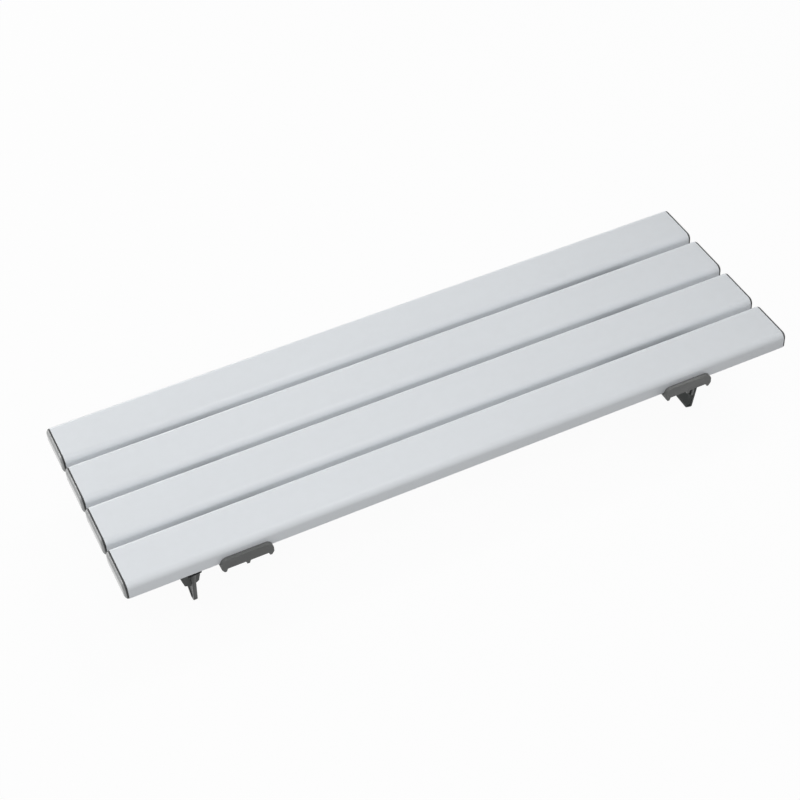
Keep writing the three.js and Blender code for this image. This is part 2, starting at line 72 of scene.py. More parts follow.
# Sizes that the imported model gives
SLAT_LOW, SLAT_HIGH = box_mm("slat_front")
UNDERSIDE = SLAT_LOW.z
SLAT_LENGTH = SLAT_HIGH.x - SLAT_LOW.x
SLAT_WIDTH = SLAT_HIGH.y - SLAT_LOW.y
SLAT_HEIGHT = SLAT_HIGH.z - SLAT_LOW.z
ROW_PLACES = {row: sum(corner.y for corner in box_mm("slat_" + row)) / 2 for row in ROWS}
CAP_REACH = box_mm("end_cap_front_right")[1].x - SLAT_HIGH.x
RAIL_LOW, RAIL_HIGH = box_mm("cross_rail_right")
RAIL_PLACE = (RAIL_LOW.x + RAIL_HIGH.x) / 2
RAIL_WIDTH = RAIL_HIGH.x - RAIL_LOW.x
RAIL_REACH = RAIL_HIGH.y
HOOK_TOP = RAIL_HIGH.z - UNDERSIDE
CHEEK_FOOT = RAIL_LOW.z - UNDERSIDE
BOLT_LOW, BOLT_HIGH = box_mm("clamp_bolt_front_right")
CLAMP_PLACE = (BOLT_LOW.x + BOLT_HIGH.x) / 2
ARM_ROW = -(BOLT_LOW.y + BOLT_HIGH.y) / 2
WASHER_LOW, WASHER_HIGH = box_mm("clamp_washer_front_right")
KNOB_LOW, KNOB_HIGH = box_mm("clamp_knob_front_right")
ARM_LOW, ARM_HIGH = box_mm("arm_front_right")
ARM_WIDTH = ARM_HIGH.y - ARM_LOW.y
LEG_PLACE = ARM_HIGH.x - ARM_WIDTH / 2

# Fits, and how far a cutter or a joined solid stands past the face it meets
SEAT = 0.1
RUNNING_GAP = 0.3
HOLE_GAP = 0.3
PAST = 1

# Slats and their screws
TOP_RADIUS = 6.5
LOWER_RADIUS = 3.1
WALL = 2.2
WEB = 1.8
CHAMBER = 15
CHAMBER_RADIUS = 0.4
SCREW_OFFSET = RAIL_PLACE - CLAMP_PLACE
SCREW_HOLE = 2.3
SCREW_SIDES = 24

# End caps: the edge is rounded first, and the crown then rises over an even margin all round
CAP_INSET = 0.3
CAP_CROWN = 1.55
CAP_TOP_RADIUS, CAP_LOWER_RADIUS = 1.4, 1.2
CAP_EDGE_SWEEP, CAP_EDGE_STEPS = 60, 4
CROWN_POWER = 2.6
CROWN_MARGIN = 4.5
CROWN_STEPS = 16
PLUG_CORNER = 0.3
FINE_EDGE = 0.12

# Cross rails
RAIL_TOP = -SEAT
RAIL_LIP = RAIL_TOP - 2.8
WEB_UNDER = RAIL_TOP - 3.2
RAIL_UNDER = RAIL_TOP - 6.4
HOOK_THICKNESS = 3.9
HOOK_CORNER = 6.5
BOSS_HALF = 9
CHEEK_HALF = 1.5

# Arms, clamp bolts and pivot screws; a pole is the small ring that closes a turned face
ARM_TOP = RAIL_UNDER - RUNNING_GAP
ARM_UNDER = ARM_TOP - 5
ARM_CORNER = 5
SLIDE_IN, SLIDE_OUT = 14, 23
BOLT_RADIUS = 3
BOLT_HEAD_RADIUS = 6.5
BOLT_HEAD_FLOOR = RAIL_TOP - RUNNING_GAP - 3.2
BOLT_END = BOLT_LOW.z - UNDERSIDE
PIVOT_RADIUS = 2.5
PIVOT_HEAD_RADIUS = 4.6
PIVOT_HEAD_HEIGHT = 2.6
PIVOT_SINK = 3
PIVOT_FLAT = ARM_TOP - PIVOT_SINK + SEAT
PIVOT_LENGTH = 24
THREAD_ROWS = 6
POLE = 0.05

# Legs and pads
TIP = -UNDERSIDE
HUB_TOP = ARM_UNDER - RUNNING_GAP
HUB_UNDER = HUB_TOP - 4
HUB_RADIUS = 15.5
BOSS_RADIUS, BOSS_LENGTH = 5.5, 24
BLADE_INNER, BLADE_INNER_HEIGHT, BLADE_TIP_INNER = 20.8, 30.5, 3.7
BLADE_OUTER, BLADE_OUTER_HEIGHT, BLADE_TIP_OUTER = 9.9, 41, 3.6
BLADE_TIP_RADIUS = 1.8
BLADE_RIM, BLADE_HALF, WEB_HALF = 2, 2.1, 1.1
WING_HALF = 1.2
PAD_SEAT = 13
PAD_SEAT_THICKNESS, PAD_SEAT_MARGIN = 2.6, 0.8
PAD_WIDTH = 14
PAD_HEIGHT = 26
PAD_THICKNESS = 3
PAD_FOOT = HUB_UNDER - 2 - PAD_HEIGHT
LEG_TURNS = {"front_left": 94, "front_right": -12, "rear_left": 0, "rear_right": 0}

# Looks of each finish; lengths are in metres
DUST_COLOUR = (0.5, 0.49, 0.47)
FINISHES = {
    "slat": {"name": "satin_white_extrusion", "second": 0.985, "wear_and_painted_edge_colour": (0.82, 0.83, 0.84),
             "roughness": 0.36, "grain": 0.0009, "bump": 0.000012, "wear": 0.3, "dust": 0.04, "patch": 0.11,
             "lines": True},
    # Brackets: the darker edge tone at full amount paints a dark outline of shade along the edges, not scuffs
    "bracket": {"name": "matt_grey_moulding", "second": 0.92, "wear_and_painted_edge_colour": (0.03, 0.031, 0.03),
                "roughness": 0.46, "grain": 0.00045, "bump": 0.00003, "wear": 1.0, "dust": 0.05,
                "patch": 0.02},
    # End caps: the paler colour on faces that look along X is painted light, a painted reflection of the
    # strong light from the left
    "cap": {"name": "dark_cap_moulding", "second": 0.85, "wear_and_painted_edge_colour": (0.12, 0.12, 0.12),
            "roughness": 0.36, "grain": 0.0004, "bump": 0.00002, "wear": 0.3, "dust": 0.03, "patch": 0.02,
            "specular": 0.4, "painted_end_light": (0.3, 0.31, 0.31)},
    # Legs: the paler edge tone at a high amount is partly scuffs and partly a painted highlight along the
    # blade's rim
    "leg": {"name": "dark_leg_moulding", "second": 0.8, "wear_and_painted_edge_colour": (0.12, 0.125, 0.12),
            "roughness": 0.36, "grain": 0.0004, "bump": 0.00003, "wear": 0.8, "dust": 0.04, "patch": 0.015},
    "knob": {"name": "black_knob_moulding", "second": 0.8, "wear_and_painted_edge_colour": (0.09, 0.09, 0.09),
             "roughness": 0.4, "grain": 0.00035, "bump": 0.00003, "wear": 0.5, "dust": 0.06, "patch": 0.012},
    "steel": {"name": "stainless_steel", "second": 0.9, "wear_and_painted_edge_colour": (0.7, 0.7, 0.68),
              "roughness": 0.27, "grain": 0.00025, "bump": 0.00001, "wear": 0.2, "dust": 0.03, "patch": 0.004,
              "metallic": 1.0},
    "rubber": {"name": "black_rubber", "second": 0.75, "wear_and_painted_edge_colour": (0.06, 0.06, 0.06),
               "roughness": 0.78, "grain": 0.0005, "bump": 0.00006, "wear": 0.5, "dust": 0.12, "patch": 0.01,
               "specular": 0.35},
}

# Studio, in metres; each lamp takes its power from the setting of the same name
LAMP_TINT = (1, 0.997, 0.99)
LAMPS = {
    "key": {"at": (-0.5, -0.55, 2.6), "to": (0, 0, 0.1), "size": (1.8, 1.8)},
    "front": {"at": (-0.75, -1.5, 2.3), "to": (0, 0, 0.1), "size": (1.6, 1.6)},
    "rear": {"at": (-0.9, 1.6, 0.6), "to": (-0.2, 0, 0.1), "size": (1.6, 0.25), "glossy": True},
    "side": {"at": (-1.25, 1.05, 0.6), "to": (-0.34, 0, 0.1), "size": (1.0, 0.8), "glossy": True,
             "diffuse": False},
    "gloss": {"at": (0.72, 0.25, 2.1), "to": (0.1, 0, 0.1), "size": (0.5, 0.6), "glossy": True},
}
FLOOR_HALF = 6
FLOOR_PAINT, FLOOR_PAINT_SEEN = 0.48, 0.8
FLOOR_GLOW = 0.95
SKY_COLOUR = (0.96, 0.98, 1, 1)


class BoardShape(bpy.types.PropertyGroup):
    """Sizes of the small forms that a user may change, in millimetres"""

    edge: FloatProperty(name="Moulded edge", description="Rounding along the edges of moulded pieces, in mm",
                        default=0.35, min=0.05, max=0.6)
    slat_edge: FloatProperty(name="Slat end edge", description="Rounding of the cut slat ends, in mm",
                             default=0.2, min=0.05, max=0.5)
    cap_edge: FloatProperty(name="Cap edge", description="Rounding round the outer face of an end cap, in mm",
                            default=1.4, min=0.2, max=1.6)
    arc_steps: IntProperty(name="Arc steps", description="Steps in each rounded corner of a slat",
                           default=14, min=4, max=40)
    round_steps: IntProperty(name="Round steps", description="Sides of a round piece",
                             default=64, min=16, max=160)
    thread_depth: FloatProperty(name="Thread depth", description="Depth of the screw threads, in mm",
                                default=0.34, min=0.05, max=0.6)
    pad_ribs: IntProperty(name="Pad ribs", description="Grip ribs across each leg pad",
                          default=9, min=3, max=16)
    rib_height: FloatProperty(name="Rib height", description="Height of the pad ribs, in mm",
                              default=0.8, min=0.2, max=1.5)


class BoardColours(bpy.types.PropertyGroup):
    """Colours of the finishes"""

    slat: FloatVectorProperty(name="Slats", description="White of the extruded slats", subtype="COLOR",
                              size=3, default=(0.84, 0.867, 0.895), min=0, max=1)
    bracket: FloatVectorProperty(name="Brackets", description="Grey of the cross rails and the arms",
                                 subtype="COLOR", size=3, default=(0.13, 0.133, 0.13), min=0, max=1)
    cap: FloatVectorProperty(name="End caps", description="Dark grey of the end caps", subtype="COLOR",
                             size=3, default=(0.036, 0.038, 0.038), min=0, max=1)
    leg: FloatVectorProperty(name="Legs", description="Near black of the legs", subtype="COLOR",
                             size=3, default=(0.02, 0.0255, 0.0235), min=0, max=1)
    knob: FloatVectorProperty(name="Knobs", description="Near black of the hand knobs", subtype="COLOR",
                              size=3, default=(0.03, 0.032, 0.033), min=0, max=1)
    steel: FloatVectorProperty(name="Steel", description="Tint of the screws, bolts and washers",
                               subtype="COLOR", size=3, default=(0.62, 0.62, 0.6), min=0, max=1)
    rubber: FloatVectorProperty(name="Rubber", description="Colour of the leg pads", subtype="COLOR",
                                size=3, default=(0.018, 0.018, 0.019), min=0, max=1)


class BoardStudio(bpy.types.PropertyGroup):
    """Camera and lamps"""

    place: FloatVectorProperty(name="Camera place", description="Where the camera stands, in metres",
                               subtype="TRANSLATION", size=3, default=(-0.5218, -1.1678, 1.3324))
    azimuth: FloatProperty(name="Azimuth", description="Camera direction round the board", subtype="ANGLE",
                           default=math.radians(-23.1301))
    elevation: FloatProperty(name="Elevation", description="Camera height above the horizon", subtype="ANGLE",
                             default=math.radians(44.2886))
    roll: FloatProperty(name="Roll", description="Turn of the picture about its middle", subtype="ANGLE",
                        default=math.radians(-3.6497))
    lens: FloatProperty(name="Lens", description="Focal length on a 36 mm sensor, in mm",
                        default=82.9296, min=10)
    key: FloatProperty(name="Key lamp", description="Power of the large soft lamp overhead, in watts",
                       default=8, min=0)
    front: FloatProperty(name="Front lamp", default=19, min=0,
                         description="Power of the large soft lamp in front on the left, in watts")
    rear: FloatProperty(name="Rear lamp", description="Power of the long low lamp behind the board, in watts",
                        default=8, min=0)
    side: FloatProperty(name="Side lamp", default=12, min=0,
                        description="Power of the lamp behind on the left, seen in gloss only, in watts")
    gloss: FloatProperty(name="Gloss lamp", default=8, min=0,
                         description="Power of the lamp above that also shows in gloss, in watts")
    surround: FloatProperty(name="Surround", description="Strength of the even light from all round",
                            default=0.35, min=0)


def arc(x, y, radius, start, sweep, steps):
    """Points on an arc, ends included."""
    angles = (math.radians(start + sweep * step / steps) for step in range(steps + 1))
    return [(x + radius * math.cos(angle), y + radius * math.sin(angle)) for angle in angles]


def rounded(left, right, low, high, radii, steps):
    """A rectangle's outline; radii go anticlockwise from the upper right corner."""
    a, b, c, d = radii
    corners = ((right - a, high - a, a), (left + b, high - b, b),
               (left + c, low + c, c), (right - d, low + d, d))
    points = []
    for turn, (x, y, radius) in enumerate(corners):
        points += arc(x, y, radius, 90 * turn, 90, steps)
    return points


def circle(radius, steps, x=0, y=0):
    """A closed ring of points without a repeated end."""
    return arc(x, y, radius, 0, 360, steps)[:-1]


def stack(name, rings):
    """A closed solid through rings with the same number of points, with a flat face on each end."""
    shape = bmesh.new()
    rows = [[shape.verts.new(point) for point in ring] for ring in rings]
    count = len(rows[0])
    for lower, upper in zip(rows, rows[1:]):
        for index in range(count):
            after = (index + 1) % count
            shape.faces.new((lower[index], lower[after], upper[after], upper[index]))
    shape.faces.new(rows[0][::-1])
    shape.faces.new(rows[-1])
    bmesh.ops.recalc_face_normals(shape, faces=shape.faces)
    mesh = bpy.data.meshes.new(name)
    shape.to_mesh(mesh)
    shape.free()
    made = bpy.data.objects.new(name, mesh)
    bpy.context.scene.collection.objects.link(made)
    return made


def set_along(outline, at, axis):
    """An outline's points in space: X takes (y, z), Y takes (x, z) and Z takes (x, y)."""
    order = {"X": lambda a, b: (at, a, b), "Y": lambda a, b: (a, at, b), "Z": lambda a, b: (a, b, at)}[axis]
    return [order(a, b) for a, b in outline]


def prism(outline, low, high, axis):
    return stack("blank", [set_along(outline, low, axis), set_along(outline, high, axis)])


def block(low, high):
    (x0, y0, z0), (x1, y1, z1) = low, high
    return prism([(x0, y0), (x1, y0), (x1, y1), (x0, y1)], z0, z1, "Z")


def rod(radius, low, high, x=0, y=0, steps=None):
    return prism(circle(radius, steps or bpy.context.scene.board_shape.round_steps, x, y), low, high, "Z")


def turned(profile, steps):
    """Level rings about the upright axis from (radius, height) pairs."""
    return [set_along(circle(radius, steps), height, "Z") for radius, height in profile]


def apply_changes(piece):
    """Turns a piece with modifiers into a plain mesh."""
    view = bpy.context.evaluated_depsgraph_get()
    mesh = bpy.data.meshes.new_from_object(piece.evaluated_get(view))
    piece.modifiers.clear()
    piece.data = mesh
    return piece


def combine(piece, tools, operation):
    """Joins tools to a piece or cuts them from it, and clears them away."""
    for tool in tools:
        change = piece.modifiers.new(operation, "BOOLEAN")
        change.operation = operation
        change.solver = "MANIFOLD"
        change.object = tool
    apply_changes(piece)
    clear(*tools)
    return piece


def joined(pieces):
    return combine(pieces[0], pieces[1:], "UNION")


def cut(piece, tools):
    return combine(piece, tools, "DIFFERENCE")


def clear(*shapes):
    for shape in shapes:
        bpy.data.objects.remove(shape)


def ease_edges(piece, width, segments=2, angle=32):
    """Rounds the sharp edges and marks the rounded strips, so that the edge tone of each finish can follow
    them: scuffs, and on some finishes painted shade and painted highlight.
    """
    shape = bmesh.new()
    shape.from_mesh(piece.data)
    bmesh.ops.remove_doubles(shape, verts=shape.verts, dist=0.001)
    bmesh.ops.dissolve_limit(shape, angle_limit=math.radians(0.6), verts=shape.verts, edges=shape.edges)
    for face in shape.faces:
        face.smooth = True
    shape.to_mesh(piece.data)
    shape.free()
    piece.data.materials.clear()
    for name in ("plain", "worn"):
        piece.data.materials.append(bpy.data.materials.get(name) or bpy.data.materials.new(name))
    bevel = piece.modifiers.new("edges", "BEVEL")
    bevel.width = width
    bevel.segments = segments
    bevel.limit_method = "ANGLE"
    bevel.angle_limit = math.radians(angle)
    bevel.use_clamp_overlap = True
    bevel.harden_normals = True
    bevel.miter_outer = "MITER_ARC"
    bevel.material = 1
    apply_changes(piece)
    strips = [float(face.material_index == 1) for face in piece.data.polygons]
    edge = piece.data.attributes.new("worn_edge", "FLOAT", "FACE")
    edge.data.foreach_set("value", strips)
    return piece


def place(shape, name, nodes, body, slot, material, turn=0, x=0, y=0):
    """Copies a shape to its place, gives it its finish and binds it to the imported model."""
    mesh = shape.data.copy()
    mesh.name = name
    moved = Matrix.Translation((x, y, UNDERSIDE)) @ Matrix.Rotation(math.radians(turn), 4, "Z")
    mesh.transform(Matrix.Scale(0.001, 4) @ moved)
    mesh.materials.clear()
    mesh.materials.append(material)
    mesh.polygons.foreach_set("material_index", [0] * len(mesh.polygons))
    mesh.shade_smooth()
    mesh.set_sharp_from_angle(angle=math.radians(34))
    piece = bpy.data.objects.new(name, mesh)
    bpy.context.scene.collection.objects.link(piece)
    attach(piece, body)
    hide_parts(*nodes)
    return piece


def half_turn(side):
    """Shapes are drawn for the right end, so the left end gets them turned by half."""
    return 0 if side > 0 else 180


def place_at_clamp(shape, kind, at, slot, material, body=None):
    """Puts a shape at one corner's clamp bolt, on the frame or on that corner's own body."""
    corner, side, row = at
    node = f"{kind}_{corner}"
    rides_on = f"{body}_{corner}" if body else "frame"
    place(shape, "finished_" + node, [node], rides_on, slot, material,
          x=side * CLAMP_PLACE, y=row * ARM_ROW)


def place_at_legs(shape, kind, slot, material):
    """Puts a shape drawn about the leg's axis at the four corners, turned as each leg stands."""
    for corner, side, row in CORNERS:
        node = f"{kind}_{corner}"
        place(shape, "finished_" + node, [node], "leg_" + corner, slot, material,
              LEG_TURNS[corner] + half_turn(side), side * LEG_PLACE, row * ARM_ROW)


class Nodes:
    """Short calls that add nodes to a tree. All but add give back the output that is used next."""

    def __init__(self, tree):
        self.tree = tree

    def add(self, kind, inputs=(), **settings):
        """Adds a node, sets its choices, and fills its inputs from values or from other sockets."""
        node = self.tree.nodes.new(kind)
        for name, value in settings.items():
            setattr(node, name, value)
        for key, value in dict(inputs).items():
            if isinstance(value, bpy.types.NodeSocket):
                self.tree.links.new(value, node.inputs[key])
            else:
                node.inputs[key].default_value = value
        return node

    def first(self, kind, inputs=(), **settings):
        return self.add(kind, inputs, **settings).outputs[0]

    def math(self, operation, *values, **settings):
        return self.first("ShaderNodeMath", enumerate(values), operation=operation, **settings)

    def vector(self, **parts):
        return self.first("ShaderNodeCombineXYZ", parts)

    def mix(self, kind, factor, low, high):
        """Blends two numbers (FLOAT) or two colours (RGBA)."""
        start, end = {"FLOAT": (2, 0), "RGBA": (6, 2)}[kind]
        inputs = {"Factor": factor, start: low, start + 1: high}
        return self.add("ShaderNodeMix", inputs, data_type=kind).outputs[end]

    def mix_shaders(self, factor, low, high):
        return self.first("ShaderNodeMixShader", {0: factor, 1: low, 2: high})

    def noise(self, vector, scale, detail, roughness=0.5):
        inputs = {"Vector": vector, "Scale": scale, "Detail": detail, "Roughness": roughness}
        return self.first("ShaderNodeTexNoise", inputs)

    def ramp(self, value, low, high, to_low=0, to_high=1):
        inputs = {"Value": value, "From Min": low, "From Max": high, "To Min": to_low, "To Max": to_high}
        return self.first("ShaderNodeMapRange", inputs)

    def shared(self, name, make, inputs):
        """Places a shared group, which is built the first time it is asked for."""
        group = bpy.data.node_groups.get(name) or make(name)
        return self.first("ShaderNodeGroup", inputs, node_tree=group)

    def join(self, *parts):
        node = self.add("GeometryNodeJoinGeometry")
        for part in parts:
            self.tree.links.new(part, node.inputs[0])
        return node.outputs[0]

    def seen(self):
        """One for rays that only show the background: from the camera, in gloss and through glass."""
        path = self.add("ShaderNodeLightPath").outputs
        first = self.math("MAXIMUM", path["Is Camera Ray"], path["Is Glossy Ray"])
        return self.math("MAXIMUM", first, path["Is Transmission Ray"])


class Tree(Nodes):
    """A new node group with named inputs and one output."""

    def __init__(self, name, kind):
        super().__init__(bpy.data.node_groups.new(name, kind))
        self.start = self.add("NodeGroupInput")
        self.end = self.add("NodeGroupOutput")

    def takes(self, name, kind="NodeSocketFloat", default=None):
        socket = self.tree.interface.new_socket(name, in_out="INPUT", socket_type=kind)
        if default is not None:
            socket.default_value = default
        return self.start.outputs[name]

    def gives(self, name, kind, source):
        self.tree.interface.new_socket(name, in_out="OUTPUT", socket_type=kind)
        self.tree.links.new(source, self.end.inputs[name])
        return self.tree

    def gives_real(self, geometry, material):
        """Ends a geometry tree with real meshes that carry their material."""
        real = self.first("GeometryNodeRealizeInstances", {0: geometry})
        done = self.first("GeometryNodeSetMaterial", {"Geometry": real, "Material": material})
        return self.gives("Geometry", "NodeSocketGeometry", done)


def bare_nodes(owner):
    """Empties the node tree of a material or a world."""
    owner.use_nodes = True
    owner.node_tree.nodes.clear()
    return Nodes(owner.node_tree)


def run_tree(group, values):
    """Runs a geometry tree on an empty mesh and returns the result as a plain object."""
    holder = bpy.data.objects.new("blank", bpy.data.meshes.new("blank"))
    bpy.context.scene.collection.objects.link(holder)
    change = holder.modifiers.new("tree", "NODES")
    change.node_group = group
    for item in group.interface.items_tree:
        if item.item_type == "SOCKET" and item.in_out == "INPUT" and item.name in values:
            change[item.identifier] = values[item.name]
    return apply_changes(holder)


def slat_tree():
    """A hollow extrusion along X: a rounded outline with three chambers, filled and drawn out."""
    tree = Tree("hollow_slat", "GeometryNodeTree")
    names = ("Length", "Width", "Height", "Top Radius", "Lower Radius", "Wall", "Web", "Chamber",
             "Inner Radius")
    length, width, height, top, low, wall, web, chamber, inner = [tree.takes(name) for name in names]
    steps = tree.takes("Corner Steps", "NodeSocketInt")
    material = tree.takes("Material", "NodeSocketMaterial")
    place_of = tree.add("ShaderNodeSeparateXYZ", {0: tree.first("GeometryNodeInputPosition")}).outputs
    upper = tree.math("GREATER_THAN", place_of["Y"], 0)
    outer = tree.math("GREATER_THAN", place_of["X"], 0)

    def either(test, yes, no):
        other = tree.math("MULTIPLY", tree.math("SUBTRACT", 1, test), no)
        return tree.math("ADD", tree.math("MULTIPLY", test, yes), other)

    def outline(across, up, radius):
        shape = tree.first("GeometryNodeCurvePrimitiveQuadrilateral", {"Width": across, "Height": up})
        inputs = {"Curve": shape, "Count": steps, "Radius": radius}
        return tree.first("GeometryNodeFilletCurve", inputs, mode="POLY")

    def moved(geometry, change, value):
        return tree.first("GeometryNodeTransform", {"Geometry": geometry, change: value})

    hollow = tree.math("SUBTRACT", height, tree.math("MULTIPLY", wall, 2))
    web_far = tree.math("ADD", tree.math("DIVIDE", chamber, 2), web)
    wall_near = tree.math("SUBTRACT", tree.math("DIVIDE", width, 2), wall)
    upper_inside = tree.math("SUBTRACT", top, wall)
    lower_inside = tree.math("SUBTRACT", low, wall)
    side_radius = either(outer, either(upper, upper_inside, lower_inside), inner)
    side = outline(tree.math("SUBTRACT", wall_near, web_far), hollow, side_radius)
    middle = tree.math("DIVIDE", tree.math("ADD", wall_near, web_far), 2)
    right = moved(side, "Translation", tree.vector(X=middle))
    left = moved(right, "Scale", (-1, 1, 1))
    outside = outline(width, height, either(upper, top, low))
    curves = tree.join(outside, outline(chamber, hollow, inner), right, left)
    face = tree.first("GeometryNodeFillCurve", {"Curve": curves}, mode="NGONS")
    draw = {"Mesh": face, "Offset": tree.vector(Z=length), "Offset Scale": 1.0, "Individual": False}
    far = tree.first("GeometryNodeExtrudeMesh", draw, mode="FACES")
    both = tree.join(far, tree.first("GeometryNodeFlipFaces", {"Mesh": face}))
    closed = tree.first("GeometryNodeMergeByDistance", {"Geometry": both, "Distance": 0.001})
    back = tree.vector(Y=tree.math("DIVIDE", height, 2), Z=tree.math("DIVIDE", length, -2))
    laid = moved(moved(closed, "Translation", back), "Rotation", (math.pi / 2, 0, math.pi / 2))
    return tree.gives_real(laid, material)


def screw_tree():
    """One screw repeated under every slat on both rails, each turned by chance about its own axis."""
    tree = Tree("slat_screws", "GeometryNodeTree")
    screw = tree.takes("Screw", "NodeSocketObject")
    spacing, depth, offset = [tree.takes(name) for name in ("Rail Spacing", "Row Depth", "Screw Offset")]
    rows, seed = [tree.takes(name, "NodeSocketInt") for name in ("Rows", "Seed")]
    material = tree.takes("Material", "NodeSocketMaterial")
    sizes = {"Size X": spacing, "Size Y": depth, "Vertices X": 2, "Vertices Y": rows}
    grid = tree.first("GeometryNodeMeshGrid", sizes)
    start = tree.vector(X=tree.math("MULTIPLY", offset, -1))
    step = tree.vector(X=tree.math("MULTIPLY", offset, 2))
    line = {"Count": 2, "Start Location": start, "Offset": step}
    pair = tree.first("GeometryNodeMeshLine", line, mode="OFFSET")
    pairs = tree.first("GeometryNodeInstanceOnPoints", {"Points": grid, "Instance": pair})
    points = tree.first("GeometryNodeRealizeInstances", {0: pairs})
    chance = tree.add("FunctionNodeRandomValue", {"Seed": seed, 2: 0, 3: math.tau}, data_type="FLOAT")
    turn = tree.vector(Z=chance.outputs[1])
    source = tree.add("GeometryNodeObjectInfo", {"Object": screw}).outputs["Geometry"]
    inputs = {"Points": points, "Instance": source, "Rotation": turn}
    return tree.gives_real(tree.first("GeometryNodeInstanceOnPoints", inputs), material)


def rib_tree():
    """Half-round grip ribs, one above another."""
    tree = Tree("grip_ribs", "GeometryNodeTree")
    count = tree.takes("Count", "NodeSocketInt")
    pitch, length, radius, height = [tree.takes(name) for name in ("Pitch", "Length", "Radius", "Height")]
    material = tree.takes("Material", "NodeSocketMaterial")
    half = tree.math("DIVIDE", length, 2)
    ends = {"Start": tree.vector(Y=tree.math("MULTIPLY", half, -1)), "End": tree.vector(Y=half)}
    line = tree.first("GeometryNodeCurvePrimitiveLine", ends)
    ring = tree.first("GeometryNodeCurvePrimitiveCircle", {"Resolution": 16, "Radius": radius})
    bar = tree.first("GeometryNodeCurveToMesh", {"Curve": line, "Profile Curve": ring, "Fill Caps": True})
    squash = tree.vector(X=tree.math("DIVIDE", height, radius), Y=1.0, Z=1.0)
    rib = tree.first("GeometryNodeTransform", {"Geometry": bar, "Scale": squash})
    rows = {"Count": count, "Offset": tree.vector(Z=pitch)}
    places = tree.first("GeometryNodeMeshLine", rows, mode="OFFSET")
    ribs = tree.first("GeometryNodeInstanceOnPoints", {"Points": places, "Instance": rib})
    return tree.gives_real(ribs, material)


def grain_group(name):
    """Fine moulded grain with a broader unevenness under it."""
    tree = Tree(name, "ShaderNodeTree")
    vector = tree.takes("Vector", "NodeSocketVector")
    size = tree.takes("Grain Size", default=0.0006)
    share = tree.takes("Unevenness", default=0.3)
    scale = tree.math("DIVIDE", 1, size)
    fine = tree.noise(vector, scale, detail=3, roughness=0.6)
    broad = tree.noise(vector, tree.math("MULTIPLY", scale, 0.06), detail=2)
    return tree.gives("Height", "NodeSocketFloat", tree.mix("FLOAT", share, fine, broad))


def lines_group(name):
    """Long faint lines along X, as a die leaves on an extrusion."""
    tree = Tree(name, "ShaderNodeTree")
    vector = tree.takes("Vector", "NodeSocketVector")
    size = tree.takes("Line Width", default=0.0012)
    stretched = tree.first("ShaderNodeVectorMath", {0: vector, 1: (0.004, 1, 1)}, operation="MULTIPLY")
    scale = tree.math("DIVIDE", 1, size)
    fine = tree.noise(stretched, scale, detail=2)
    broad = tree.noise(stretched, tree.math("MULTIPLY", scale, 0.12), detail=1)
    return tree.gives("Height", "NodeSocketFloat", tree.mix("FLOAT", 0.5, fine, broad))


def tint_group(name):
    """Slow drift between two nearly equal colours."""
    tree = Tree(name, "ShaderNodeTree")
    vector = tree.takes("Vector", "NodeSocketVector")
    first = tree.takes("Colour", "NodeSocketColor")
    second = tree.takes("Second Colour", "NodeSocketColor")
    size = tree.takes("Patch Size", default=0.05)
    patch = tree.noise(vector, tree.math("DIVIDE", 1, size), detail=3)
    drift = tree.ramp(patch, low=0.3, high=0.7)
    return tree.gives("Color", "NodeSocketColor", tree.mix("RGBA", drift, first, second))


def edge_wear_and_painted_tone_group(name):
    """A broken mask along the marked edge strips, for scuffs and for the painted edge shade and highlight of
    some finishes.
    """
    tree = Tree(name, "ShaderNodeTree")
    vector = tree.takes("Vector", "NodeSocketVector")
    edge = tree.takes("Edge", default=0.0)
    amount = tree.takes("Amount", default=0.5)
    spots = tree.ramp(tree.noise(vector, scale=420, detail=4, roughness=0.7), low=0.42, high=0.62)
    mask = tree.math("MULTIPLY", tree.math("MULTIPLY", spots, edge), amount)
    return tree.gives("Mask", "NodeSocketFloat", mask)


def dust_group(name):
    """Thin uneven dust or dried water film on faces that look up."""
    tree = Tree(name, "ShaderNodeTree")
    vector = tree.takes("Vector", "NodeSocketVector")
    normal = tree.takes("Normal", "NodeSocketVector")
    amount = tree.takes("Amount", default=0.1)
    up = tree.add("ShaderNodeSeparateXYZ", {0: normal}).outputs["Z"]
    facing = tree.ramp(up, low=0.2, high=0.9)
    spots = tree.ramp(tree.noise(vector, scale=90, detail=5, roughness=0.65), low=0.4, high=0.75)
    mask = tree.math("MULTIPLY", tree.math("MULTIPLY", spots, facing), amount)
    return tree.gives("Mask", "NodeSocketFloat", mask)


